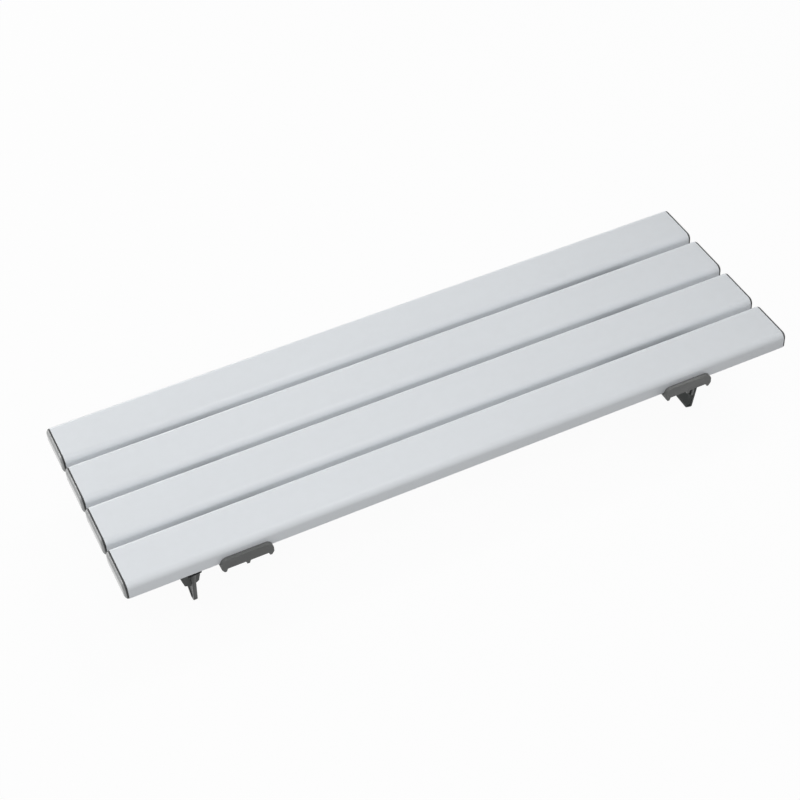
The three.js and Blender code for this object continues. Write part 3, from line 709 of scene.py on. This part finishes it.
def moulded(name, colour, *, second, wear_and_painted_edge_colour, roughness, grain, bump, wear, dust, patch,
            metallic=0.0, specular=0.5, lines=False, painted_end_light=None):
    """A finish with colour drift, grain, settled dust and a tone along the edge strips: scuffs on most
    finishes, painted shade on the brackets and partly painted highlight on the legs.

    Lines are those that a die leaves. A painted end light gives the faces that look along X a paler base
    colour, a painted reflection of the strong light from the left, and the same mask lays a glossy coat on
    them.
    """
    found = bpy.data.materials.get(name)
    if found:
        return found
    material = bpy.data.materials.new(name)
    nodes = bare_nodes(material)
    where = nodes.add("ShaderNodeTexCoord").outputs
    spot, normal = where["Object"], where["Normal"]
    tint = nodes.shared("tint_drift", tint_group, {
        "Vector": spot, "Colour": (*colour, 1), "Second Colour": (*(part * second for part in colour), 1),
        "Patch Size": patch})
    edge = nodes.add("ShaderNodeAttribute", attribute_name="worn_edge").outputs["Fac"]
    worn = nodes.shared("edge_wear", edge_wear_and_painted_tone_group, {"Vector": spot, "Edge": edge, "Amount": wear})
    settled = nodes.shared("settled_dust", dust_group, {"Vector": spot, "Normal": normal, "Amount": dust})
    # Edge strips take the edge tone here: scuffs on most finishes, painted shade on the brackets, partly
    # painted highlight on the legs
    used = nodes.mix("RGBA", worn, tint, (*wear_and_painted_edge_colour, 1))
    base = nodes.mix("RGBA", settled, used, (*DUST_COLOUR, 1))
    height = nodes.shared("moulded_grain", grain_group, {"Vector": spot, "Grain Size": grain})
    if lines:
        drawn = nodes.shared("extrusion_lines", lines_group, {"Vector": spot})
        height = nodes.mix("FLOAT", 0.75, height, drawn)
    gloss = nodes.ramp(height, 0.3, 0.7, to_low=roughness - 0.05, to_high=roughness + 0.07)
    rubbed = nodes.math("SUBTRACT", gloss, worn, use_clamp=True)
    dulled = nodes.math("ADD", rubbed, settled, use_clamp=True)
    relief = nodes.first("ShaderNodeBump", {"Strength": 1.0, "Distance": bump, "Height": height})
    inputs = {"Base Color": base, "Roughness": dulled, "Normal": relief, "Metallic": metallic,
              "Specular IOR Level": specular}
    # Painted light: faces that look along X get a paler base colour, a painted reflection of the light from
    # the left; the same mask also lays a real glossy coat
    if painted_end_light:
        across = nodes.add("ShaderNodeSeparateXYZ", {0: normal}).outputs["X"]
        polish_and_painted_light = nodes.ramp(nodes.math("ABSOLUTE", across), low=0.5, high=0.75)
        inputs["Base Color"] = nodes.mix("RGBA", polish_and_painted_light, base, (*painted_end_light, 1))
        inputs["Coat Weight"] = polish_and_painted_light
        inputs["Coat Roughness"] = 0.18
    shader = nodes.first("ShaderNodeBsdfPrincipled", inputs)
    nodes.add("ShaderNodeOutputMaterial", {0: shader})
    return material


def finish_of(kind):
    """The finish of a kind of piece, in the colour that the user has set."""
    return moulded(colour=getattr(bpy.context.scene.board_colours, kind), **FINISHES[kind])


class LaySlats(bpy.types.Operator):
    """Draws the hollow slats and lays them in four rows"""

    bl_idname = "bath_board.lay_slats"
    bl_label = "Lay Slats"
    bl_options = {"REGISTER", "UNDO"}

    def execute(self, context):
        shape = context.scene.board_shape
        finish = finish_of("slat")
        slat = run_tree(slat_tree(), {
            "Length": SLAT_LENGTH, "Width": SLAT_WIDTH, "Height": SLAT_HEIGHT, "Top Radius": TOP_RADIUS,
            "Lower Radius": LOWER_RADIUS, "Wall": WALL, "Web": WEB, "Chamber": float(CHAMBER),
            "Inner Radius": CHAMBER_RADIUS, "Corner Steps": shape.arc_steps, "Material": finish})
        drills = [rod(SCREW_HOLE, -PAST, WALL + PAST, side * RAIL_PLACE + hand * SCREW_OFFSET, 0, SCREW_SIDES)
                  for side in (-1, 1) for hand in (-1, 1)]
        cut(slat, drills)
        ease_edges(slat, shape.slat_edge, angle=50)
        for row, y in ROW_PLACES.items():
            place(slat, "finished_slat_" + row, ["slat_" + row], "frame", "slat", finish, y=y)
        clear(slat)
        return {"FINISHED"}


class FitEndCaps(bpy.types.Operator):
    """Makes the end caps with their hollow plugs and fits one to each end of each slat"""

    bl_idname = "bath_board.fit_end_caps"
    bl_label = "Fit End Caps"
    bl_options = {"REGISTER", "UNDO"}

    def outline(self, inset, steps):
        half = SLAT_WIDTH / 2 - inset
        upper = max(TOP_RADIUS - inset, CAP_TOP_RADIUS)
        lower = max(LOWER_RADIUS - inset, CAP_LOWER_RADIUS)
        return rounded(-half, half, inset, SLAT_HEIGHT - inset, (upper, upper, lower, lower), steps)

    def plate(self, inset, edge, steps):
        """The outer part of a cap: a low side, a rounded edge and a crown that rises to the middle."""
        rim = CAP_REACH - CAP_CROWN
        rings = [set_along(self.outline(inset, steps), 0, "X")]
        for step in range(CAP_EDGE_STEPS + 1):
            angle = math.radians(CAP_EDGE_SWEEP * step / CAP_EDGE_STEPS)
            drawn_in = inset + edge * (1 - math.cos(angle))
            low = rim - edge * (1 - math.sin(angle))
            rings.append(set_along(self.outline(drawn_in, steps), low, "X"))
        for step in range(1, CROWN_STEPS + 1):
            share = step / CROWN_STEPS
            x = low + (CAP_REACH - low) * (1 - (1 - share) ** CROWN_POWER)
            rings.append(set_along(self.outline(drawn_in + CROWN_MARGIN * share, steps), x, "X"))
        return stack("blank", rings)

    def plug(self, left, right, radii, steps):
        """A hollow plug that fills one chamber of a slat, with a tapered lead at its far end."""
        def ring(x, shrink):
            low, high = WALL + shrink, SLAT_HEIGHT - WALL - shrink
            small = tuple(max(radius - shrink, 0.15) for radius in radii)
            return set_along(rounded(left + shrink, right - shrink, low, high, small, steps), x, "X")

        wall, gap = 1.5, 0.25
        depth, lead, taper, into_plate = 12, 0.8, 0.4, 0.6
        return stack("blank", [ring(into_plate, gap), ring(lead - depth, gap), ring(-depth, gap + taper),
                               ring(-depth, gap + wall), ring(0, gap + wall)])

    def execute(self, context):
        shape = context.scene.board_shape
        finish = finish_of("cap")
        steps = shape.arc_steps
        far = CHAMBER / 2 + WEB
        wide = SLAT_WIDTH / 2 - WALL
        tight = PLUG_CORNER
        upper, lower = TOP_RADIUS - WALL, LOWER_RADIUS - WALL
        cap = joined([self.plate(CAP_INSET, shape.cap_edge, steps),
                      self.plug(-CHAMBER / 2, CHAMBER / 2, (tight,) * 4, 4),
                      self.plug(far, wide, (upper, tight, tight, lower), 6),
                      self.plug(-wide, -far, (tight, upper, lower, tight), 6)])
        ease_edges(cap, FINE_EDGE, segments=1, angle=40)
        for row, y in ROW_PLACES.items():
            for end, side in ENDS:
                node = f"end_cap_{row}_{end}"
                place(cap, "finished_" + node, [node], "frame", "end_cap", finish, half_turn(side),
                      side * SLAT_LENGTH / 2, y)
        clear(cap)
        return {"FINISHED"}


class FitCrossRails(bpy.types.Operator):
    """Makes the two cross rails with their hooks, bosses and arm guides"""

    bl_idname = "bath_board.fit_cross_rails"
    bl_label = "Fit Cross Rails"
    bl_options = {"REGISTER", "UNDO"}

    def section(self):
        """Half a rail's section: the middle rib, the web and the leaning flange, and then its mirror."""
        half = RAIL_WIDTH / 2
        rib_tip, rib_root = 1.2, 2.3
        flange_root, flange_inside, flange_outside = half - 5.6, half - 4.2, half - 2.4
        side = [(rib_tip, RAIL_UNDER), (rib_root, WEB_UNDER), (flange_root, WEB_UNDER),
                (flange_inside, RAIL_UNDER), (flange_outside, RAIL_UNDER), (half, RAIL_LIP), (half, RAIL_TOP)]
        return side + [(-x, z) for x, z in reversed(side)]

    def hook(self):
        half = RAIL_WIDTH / 2
        upper = arc(half - HOOK_CORNER, HOOK_TOP - HOOK_CORNER, HOOK_CORNER, 0, 90, 12)
        return [(-half, RAIL_LIP), (half, RAIL_LIP)] + upper + [(-x, z) for x, z in reversed(upper)]

    def execute(self, context):
        shape = context.scene.board_shape
        finish = finish_of("bracket")
        half = RAIL_WIDTH / 2
        neck = BOLT_RADIUS + HOLE_GAP
        above_rail = RAIL_TOP + 3
        solids = [prism(self.section(), -RAIL_REACH, RAIL_REACH, "Y")]
        tools = []
        for row in (-1, 1):
            ends = sorted((row * (RAIL_REACH - HOOK_THICKNESS), row * RAIL_REACH))
            solids.append(prism(self.hook(), *ends, "Y"))
            y = row * ARM_ROW
            solids.append(block((-half, y - BOSS_HALF, RAIL_UNDER), (0, y + BOSS_HALF, RAIL_TOP)))
            for hand in (-1, 1):
                middle = y + hand * (ARM_WIDTH / 2 + RUNNING_GAP + CHEEK_HALF)
                solids.append(block((-half, middle - CHEEK_HALF, CHEEK_FOOT),
                                    (half, middle + CHEEK_HALF, RAIL_TOP)))
            tools.append(rod(BOLT_HEAD_RADIUS + HOLE_GAP, BOLT_HEAD_FLOOR, above_rail, -SCREW_OFFSET, y))
            tools.append(block((-SCREW_OFFSET - neck, y - neck, RAIL_UNDER - PAST),
                               (-SCREW_OFFSET + neck, y + neck, RAIL_TOP + PAST)))
        for y in ROW_PLACES.values():
            for hand in (-1, 1):
                tools.append(rod(SCREW_HOLE, RAIL_UNDER - PAST, RAIL_TOP + PAST,
                                 hand * SCREW_OFFSET, y, SCREW_SIDES))
        rail = cut(joined(solids), tools)
        ease_edges(rail, shape.edge)
        for end, side in ENDS:
            node = "cross_rail_" + end
            place(rail, "finished_" + node, [node], "frame", "bracket", finish, half_turn(side),
                  side * RAIL_PLACE)
        clear(rail)
        return {"FINISHED"}


def head_rings(radius, height, flat, way, sides, steps=8):
    """Rings of a shallow domed head that rises from its flat, up (1) or down (-1)."""
    rim, lip = 0.3, 0.15
    points = [(radius - lip, 0), (radius, lip)]
    for step in range(steps):
        angle = math.radians(90 * step / steps)
        points.append((radius * math.cos(angle), height * (rim + (1 - rim) * math.sin(angle))))
    points.append((POLE, height))
    return turned([(across, flat + way * up) for across, up in points], sides)


def thread_rings(radius, depth, pitch, low, high, steps):
    """Rings of a round-crested thread that fades out at both ends."""
    rings = []
    count = max(2, round((high - low) / pitch * THREAD_ROWS))
    for row in range(count + 1):
        z = low + (high - low) * row / count
        fade = min(1, (z - low) / pitch, (high - z) / pitch)
        ring = []
        for index in range(steps):
            angle = math.tau * index / steps
            cut_in = depth * max(fade, 0) * (0.5 - 0.5 * math.cos(math.tau * z / pitch - angle))
            ring.append(((radius - cut_in) * math.cos(angle), (radius - cut_in) * math.sin(angle), z))
        rings.append(ring)
    return rings


def cross_recess(top, way):
    """A tapered cross that cuts a screw head's drive; way is the direction in which the head rises."""
    def cross(arm, half, z):
        quarter = [(arm, -half), (arm, half), (half, half)]
        turns = [(1, 0), (0, 1), (-1, 0), (0, -1)]
        return [(x * c - y * s, x * s + y * c, z) for c, s in turns for x, y in quarter]

    depth, rise = 1.5, 0.4
    foot = cross(arm=0.7, half=0.25, z=top - way * depth)
    mouth = cross(arm=2.3, half=0.48, z=top + way * rise)
    return stack("blank", [foot, mouth])


class DriveSlatScrews(bpy.types.Operator):
    """Makes one slat screw and sets it under every slat on both rails"""

    bl_idname = "bath_board.drive_slat_screws"
    bl_label = "Drive Slat Screws"
    bl_options = {"REGISTER", "UNDO"}

    def execute(self, context):
        shape = context.scene.board_shape
        finish = finish_of("steel")
        radius, pitch = 2, 1.6
        head_radius, head_height = 4, 2.4
        flat = WEB_UNDER - SEAT
        top = WALL + 8
        thread_low, thread_high = flat + 0.6, top - 3
        head = head_rings(head_radius, head_height, flat, -1, SCREW_SIDES)
        neck = turned([(radius + 0.15, flat), (radius, flat + 0.3)], SCREW_SIDES)
        shank = thread_rings(radius, shape.thread_depth, pitch, thread_low, thread_high, SCREW_SIDES)
        point = turned([(1.3, top - 1.4), (0.4, top - 0.2)], SCREW_SIDES)
        screw = stack("screw", head[::-1] + neck + shank + point)
        cut(screw, [cross_recess(flat - head_height, -1)])
        screw.data.name = "slat_screw_shape"
        screws = run_tree(screw_tree(), {
            "Screw": screw, "Rail Spacing": 2 * RAIL_PLACE, "Screw Offset": SCREW_OFFSET,
            "Row Depth": ROW_PLACES["rear"] - ROW_PLACES["front"], "Rows": len(ROWS), "Seed": 7,
            "Material": finish})
        nodes = [f"slat_screw_{end}_{row}_{word}"
                 for end, _ in ENDS for row in ROWS for word in ("inner", "outer")]
        place(screws, "finished_slat_screws", nodes, "frame", "fastener", finish)
        clear(screw, screws)
        return {"FINISHED"}


class FitClamps(bpy.types.Operator):
    """Makes the clamp bolts and their washers"""

    bl_idname = "bath_board.fit_clamps"
    bl_label = "Fit Clamp Bolts and Washers"
    bl_options = {"REGISTER", "UNDO"}

    def bolt(self, depth):
        """A coach bolt: chamfered tip, thread, plain neck, domed head and a square under the head."""
        sides, pitch, head_height, square_length = 48, 1.0, 3.1, 2.4
        flat = BOLT_HEAD_FLOOR + SEAT
        thread_low, thread_high = BOLT_END + 0.6, flat - 2
        tip = turned([(BOLT_RADIUS - 0.5, BOLT_END)], sides)
        shank = thread_rings(BOLT_RADIUS, depth, pitch, thread_low, thread_high, sides)
        neck = turned([(BOLT_RADIUS, flat)], sides)
        bolt = stack("blank", tip + shank + neck + head_rings(BOLT_HEAD_RADIUS, head_height, flat, 1, sides))
        square = block((-BOLT_RADIUS, -BOLT_RADIUS, flat - square_length),
                       (BOLT_RADIUS, BOLT_RADIUS, flat + PAST))
        return ease_edges(joined([bolt, square]), 0.15, segments=1, angle=60)

    def washer(self):
        radius, chamfer, sides = 8, 0.2, 64
        low, high = WASHER_LOW.z - UNDERSIDE, WASHER_HIGH.z - UNDERSIDE
        disc = stack("blank", turned([(radius - chamfer, low), (radius, low + chamfer),
                                      (radius, high - chamfer), (radius - chamfer, high)], sides))
        washer = cut(disc, [rod(BOLT_RADIUS + HOLE_GAP, low - PAST, high + PAST)])
        return ease_edges(washer, FINE_EDGE, segments=1, angle=60)

    def execute(self, context):
        finish = finish_of("steel")
        bolt = self.bolt(context.scene.board_shape.thread_depth)
        washer = self.washer()
        for corner in CORNERS:
            place_at_clamp(bolt, "clamp_bolt", corner, "fastener", finish)
            place_at_clamp(washer, "clamp_washer", corner, "fastener", finish, body="washer")
        clear(bolt, washer)
        return {"FINISHED"}


class FitKnobs(bpy.types.Operator):
    """Makes the lobed hand knobs"""

    bl_idname = "bath_board.fit_knobs"
    bl_label = "Fit Knobs"
    bl_options = {"REGISTER", "UNDO"}

    def lobed(self, inset, z, sides):
        """A ring of the grip with six lobes, drawn in by the inset."""
        root, lobe, lobes = 11.6, 2.4, 6
        ring = []
        for index in range(sides):
            angle = math.tau * index / sides
            radius = root + lobe * (1 + math.cos(lobes * angle)) / 2 - inset
            ring.append((radius * math.cos(angle), radius * math.sin(angle), z))
        return ring

    def execute(self, context):
        finish = finish_of("knob")
        foot, top = KNOB_LOW.z - UNDERSIDE, KNOB_HIGH.z - UNDERSIDE
        grip_top = foot + 12
        bore_end = BOLT_END - HOLE_GAP
        edge, bore, sides = 1.2, BOLT_RADIUS + 0.35, 96
        angles = [math.radians(15 * step) for step in range(7)]
        dish = [(POLE, foot + 1), (5.5, foot + 1), (6.3, foot + 0.7), (7, foot + 0.15), (7.6, foot)]
        collar = [(9.2, grip_top), (8.4, grip_top + 0.25), (8, grip_top + 0.9), (8, top - 0.5),
                  (7.85, top - 0.15), (7.5, top), (bore + 0.5, top), (bore, top - 0.5), (bore, bore_end),
                  (POLE, bore_end)]
        grip = [self.lobed(edge * (1 - math.sin(angle)), foot + edge * (1 - math.cos(angle)), sides)
                for angle in angles]
        grip += [self.lobed(edge * (1 - math.cos(angle)), grip_top - edge * (1 - math.sin(angle)), sides)
                 for angle in angles]
        knob = stack("blank", turned(dish, sides) + grip + turned(collar, sides))
        for corner in CORNERS:
            place_at_clamp(knob, "clamp_knob", corner, "knob", finish, body="knob")
        clear(knob)
        return {"FINISHED"}


class FitArms(bpy.types.Operator):
    """Makes the slotted arms that carry the legs"""

    bl_idname = "bath_board.fit_arms"
    bl_label = "Fit Arms"
    bl_options = {"REGISTER", "UNDO"}

    def execute(self, context):
        shape = context.scene.board_shape
        finish = finish_of("bracket")
        half = ARM_WIDTH / 2
        reach = LEG_PLACE - CLAMP_PLACE
        corner = ARM_LOW.x - LEG_PLACE + ARM_CORNER
        outline = arc(0, 0, half, -90, 180, 32)
        outline += arc(corner, half - ARM_CORNER, ARM_CORNER, 90, 90, 10)
        outline += arc(corner, ARM_CORNER - half, ARM_CORNER, 180, 90, 10)
        radius = BOLT_RADIUS + HOLE_GAP
        slot = arc(SLIDE_IN - reach, 0, radius, -90, 180, 16)
        slot += arc(-reach - SLIDE_OUT, 0, radius, 90, 180, 16)
        tools = [prism(slot, ARM_UNDER - PAST, ARM_TOP + PAST, "Z"),
                 rod(PIVOT_HEAD_RADIUS + HOLE_GAP, ARM_TOP - PIVOT_SINK, ARM_TOP + PAST),
                 rod(PIVOT_RADIUS + HOLE_GAP, ARM_UNDER - PAST, ARM_TOP + PAST)]
        arm = cut(prism(outline, ARM_UNDER, ARM_TOP, "Z"), tools)
        ease_edges(arm, shape.edge + 0.1, segments=3)
        for name, side, row in CORNERS:
            node = "arm_" + name
            place(arm, "finished_" + node, [node], node, "bracket", finish, half_turn(side),
                  side * LEG_PLACE, row * ARM_ROW)
        clear(arm)
        return {"FINISHED"}


class FitLegs(bpy.types.Operator):
    """Makes the legs: hub, screw boss, bordered blade, wings and pad seat"""

    bl_idname = "bath_board.fit_legs"
    bl_label = "Fit Legs"
    bl_options = {"REGISTER", "UNDO"}

    def blade(self):
        """The blade's outline in X (outwards) and Z, with rounded corners at the tip."""
        foot = TIP + BLADE_TIP_RADIUS
        seat_foot = PAD_FOOT - PAD_SEAT_MARGIN
        points = arc(BLADE_TIP_OUTER - BLADE_TIP_RADIUS, foot, BLADE_TIP_RADIUS, -90, 80, 6)
        points += [(BLADE_OUTER, TIP + BLADE_OUTER_HEIGHT),
                   (BLADE_OUTER, seat_foot - (PAD_SEAT - BLADE_OUTER)), (PAD_SEAT, seat_foot),
                   (PAD_SEAT, HUB_UNDER + PAST), (-BLADE_INNER, HUB_UNDER + PAST),
                   (-BLADE_INNER, TIP + BLADE_INNER_HEIGHT)]
        points += arc(BLADE_TIP_RADIUS - BLADE_TIP_INNER, foot, BLADE_TIP_RADIUS, 215, 55, 5)
        return points

    def recess(self, side):
        """A shallow recess in one side of the blade, which leaves a rim along its edges."""
        def edge(foot, knee, knee_height, height):
            lean = (knee - foot) / (knee_height - BLADE_TIP_RADIUS)
            return foot + lean * (height - BLADE_TIP_RADIUS) - BLADE_RIM * math.hypot(1, lean)

        def inner(height):
            return -edge(BLADE_TIP_INNER, BLADE_INNER, BLADE_INNER_HEIGHT, height)

        def outer(height):
            return edge(BLADE_TIP_OUTER, BLADE_OUTER, BLADE_OUTER_HEIGHT, height)

        low, top = BLADE_RIM, HUB_UNDER - TIP
        inner_knee, outer_knee = BLADE_INNER_HEIGHT - BLADE_RIM / 2, BLADE_OUTER_HEIGHT - BLADE_RIM / 2
        heights = [(outer(low), low), (outer(outer_knee), outer_knee), (outer(outer_knee), top),
                   (inner(inner_knee), top), (inner(inner_knee), inner_knee), (inner(low), low)]
        outline = [(x, TIP + height) for x, height in heights]
        return prism(outline, *sorted((side * WEB_HALF, side * (BLADE_HALF + PAST))), "Y")

    def wings(self):
        """The outline in Y and Z of the two wings that brace the blade under the hub."""
        half = [(7.4, TIP + 22), (15, HUB_UNDER - BOSS_LENGTH), (15, HUB_UNDER + PAST)]
        return [(0, TIP + 18)] + half + [(-y, z) for y, z in reversed(half)]

    def execute(self, context):
        shape = context.scene.board_shape
        finish = finish_of("leg")
        depth = PIVOT_LENGTH - (PIVOT_FLAT - HUB_TOP) + HOLE_GAP
        seat_half = PAD_WIDTH / 2 + PAD_SEAT_MARGIN
        blade = cut(prism(self.blade(), -BLADE_HALF, BLADE_HALF, "Y"), [self.recess(-1), self.recess(1)])
        solids = [rod(HUB_RADIUS, HUB_UNDER, HUB_TOP),
                  rod(BOSS_RADIUS, HUB_UNDER - BOSS_LENGTH, HUB_UNDER + PAST, steps=40), blade,
                  prism(self.wings(), -WING_HALF, WING_HALF, "X"),
                  block((PAD_SEAT - PAD_SEAT_THICKNESS, -seat_half, PAD_FOOT - PAD_SEAT_MARGIN),
                        (PAD_SEAT, seat_half, HUB_UNDER + PAST))]
        leg = cut(joined(solids), [rod(PIVOT_RADIUS + HOLE_GAP, HUB_TOP - depth, HUB_TOP + PAST, steps=32)])
        ease_edges(leg, shape.edge - 0.05)
        place_at_legs(leg, "leg", "leg", finish)
        clear(leg)
        return {"FINISHED"}


class FitPivotScrews(bpy.types.Operator):
    """Makes the screws that the legs turn on"""

    bl_idname = "bath_board.fit_pivot_screws"
    bl_label = "Fit Pivot Screws"
    bl_options = {"REGISTER", "UNDO"}

    def execute(self, context):
        shape = context.scene.board_shape
        finish = finish_of("steel")
        sides, pitch = 40, 1.5
        end = PIVOT_FLAT - PIVOT_LENGTH
        thread_low, thread_high = end + 2.4, HUB_TOP - 3
        tip = turned([(0.5, end), (1.9, end + 1.6)], sides)
        shank = thread_rings(PIVOT_RADIUS, shape.thread_depth, pitch, thread_low, thread_high, sides)
        plain = turned([(PIVOT_RADIUS, PIVOT_FLAT)], sides)
        head = head_rings(PIVOT_HEAD_RADIUS, PIVOT_HEAD_HEIGHT, PIVOT_FLAT, 1, sides)
        screw = stack("blank", tip + shank + plain + head)
        cut(screw, [cross_recess(PIVOT_FLAT + PIVOT_HEAD_HEIGHT, 1)])
        place_at_legs(screw, "leg_pivot_screw", "fastener", finish)
        clear(screw)
        return {"FINISHED"}


class FitPads(bpy.types.Operator):
    """Makes the ribbed rubber pads on the legs"""

    bl_idname = "bath_board.fit_pads"
    bl_label = "Fit Pads"
    bl_options = {"REGISTER", "UNDO"}

    def execute(self, context):
        shape = context.scene.board_shape
        finish = finish_of("rubber")
        back = PAD_SEAT + SEAT
        front = back + PAD_THICKNESS - shape.rib_height
        half = PAD_WIDTH / 2
        margin, base_edge, rib_share = 1.2, 0.5, 0.36
        base = block((back, -half, PAD_FOOT), (front, half, PAD_FOOT + PAD_HEIGHT))
        ease_edges(base, base_edge, segments=3)
        pitch = (PAD_HEIGHT - 2 * margin) / (shape.pad_ribs - 1)
        ribs = run_tree(rib_tree(), {
            "Count": shape.pad_ribs, "Pitch": pitch, "Length": PAD_WIDTH - margin,
            "Radius": pitch * rib_share, "Height": shape.rib_height, "Material": finish})
        ribs.data.transform(Matrix.Translation((front, 0, PAD_FOOT + margin)))
        pad = joined([base, ribs])
        place_at_legs(pad, "leg_pad", "pad", finish)
        clear(pad)
        return {"FINISHED"}


class SetStage(bpy.types.Operator):
    """Lays the floor and sets the lamps, the surround and the camera"""

    bl_idname = "bath_board.set_stage"
    bl_label = "Set Stage"
    bl_options = {"REGISTER", "UNDO"}

    def lamp(self, name, power, at, to, size, glossy=False, diffuse=True):
        light = bpy.data.lights.new(name, "AREA")
        light.shape = "RECTANGLE"
        light.size, light.size_y = size
        light.energy = power
        light.color = LAMP_TINT
        holder = bpy.data.objects.new(name, light)
        holder.location = at
        holder.rotation_euler = (Vector(to) - Vector(at)).to_track_quat("-Z", "Y").to_euler()
        holder.visible_camera = False
        holder.visible_glossy = glossy
        holder.visible_diffuse = diffuse
        bpy.context.scene.collection.objects.link(holder)

    def floor(self):
        """A white floor that takes the board's shadow and can be seen through from below."""
        mesh = bpy.data.meshes.new("studio_floor")
        far = FLOOR_HALF
        corners = [(-far, -far, 0), (far, -far, 0), (far, far, 0), (-far, far, 0)]
        mesh.from_pydata(corners, [], [(0, 1, 2, 3)])
        material = bpy.data.materials.new("white_floor")
        nodes = bare_nodes(material)
        shown = nodes.seen()
        tone = nodes.mix("RGBA", shown, (*(FLOOR_PAINT,) * 3, 1), (*(FLOOR_PAINT_SEEN,) * 3, 1))
        paint = nodes.first("ShaderNodeBsdfDiffuse", {"Color": tone})
        glow = nodes.first("ShaderNodeEmission", {"Color": (1, 1, 1, 1), "Strength": 1.0})
        white = nodes.mix_shaders(nodes.math("MULTIPLY", shown, FLOOR_GLOW), paint, glow)
        below = nodes.add("ShaderNodeNewGeometry").outputs["Backfacing"]
        top_only = nodes.mix_shaders(below, white, nodes.first("ShaderNodeBsdfTransparent"))
        nodes.add("ShaderNodeOutputMaterial", {0: top_only})
        mesh.materials.append(material)
        floor = bpy.data.objects.new("studio_floor", mesh)
        bpy.context.scene.collection.objects.link(floor)

    def surround(self, strength):
        """Even light from all round, which shows as plain white."""
        world = bpy.context.scene.world or bpy.data.worlds.new("surround")
        bpy.context.scene.world = world
        nodes = bare_nodes(world)
        light = nodes.first("ShaderNodeBackground", {"Color": SKY_COLOUR, "Strength": strength})
        white = nodes.first("ShaderNodeBackground", {"Color": (1, 1, 1, 1), "Strength": 1.0})
        nodes.add("ShaderNodeOutputWorld", {0: nodes.mix_shaders(nodes.seen(), light, white)})

    def camera(self, studio):
        data = bpy.data.cameras.new("camera")
        data.sensor_width = 36
        data.lens = studio.lens
        data.clip_start, data.clip_end = 0.05, 50
        camera = bpy.data.objects.new("camera", data)
        a, e, r = studio.azimuth, studio.elevation, studio.roll
        back = Vector((math.sin(a) * math.cos(e), -math.cos(a) * math.cos(e), math.sin(e)))
        level = Vector((math.cos(a), math.sin(a), 0))
        upright = back.cross(level)
        right = level * math.cos(r) + upright * math.sin(r)
        up = upright * math.cos(r) - level * math.sin(r)
        turn = Matrix((right, up, back)).transposed().to_4x4()
        camera.matrix_world = Matrix.Translation(studio.place) @ turn
        bpy.context.scene.collection.objects.link(camera)
        bpy.context.scene.camera = camera

    def execute(self, context):
        studio = context.scene.board_studio
        context.scene.view_settings.view_transform = "Standard"
        self.floor()
        self.surround(studio.surround)
        for name, settings in LAMPS.items():
            self.lamp(name + "_lamp", getattr(studio, name), **settings)
        self.camera(studio)
        return {"FINISHED"}


STEPS = (LaySlats, FitEndCaps, FitCrossRails, DriveSlatScrews, FitClamps, FitKnobs, FitArms, FitLegs,
         FitPivotScrews, FitPads, SetStage)


class BoardPanel(bpy.types.Panel):
    """Lists the board's sizes, colours and building steps"""

    bl_idname = "VIEW3D_PT_bath_board"
    bl_label = "Bath Board"
    bl_space_type = "VIEW_3D"
    bl_region_type = "UI"
    bl_category = "Bath Board"

    def draw(self, context):
        for group in GROUPS:
            section = self.layout.box()
            section.label(text=group.removeprefix("board_").capitalize())
            holder = getattr(context.scene, group)
            for name in holder.__annotations__:
                section.prop(holder, name)
        for step in STEPS:
            self.layout.operator(step.bl_idname)


GROUPS = {"board_shape": BoardShape, "board_colours": BoardColours, "board_studio": BoardStudio}


def register():
    for group in (*GROUPS.values(), *STEPS, BoardPanel):
        bpy.utils.register_class(group)
    for name, group in GROUPS.items():
        setattr(bpy.types.Scene, name, PointerProperty(type=group))


def unregister():
    for name in GROUPS:
        delattr(bpy.types.Scene, name)
    for group in reversed((*GROUPS.values(), *STEPS, BoardPanel)):
        bpy.utils.unregister_class(group)


def main():
    register()
    for step in STEPS:
        folder, name = step.bl_idname.split(".")
        getattr(getattr(bpy.ops, folder), name)()


if __name__ == "__main__":
    main()
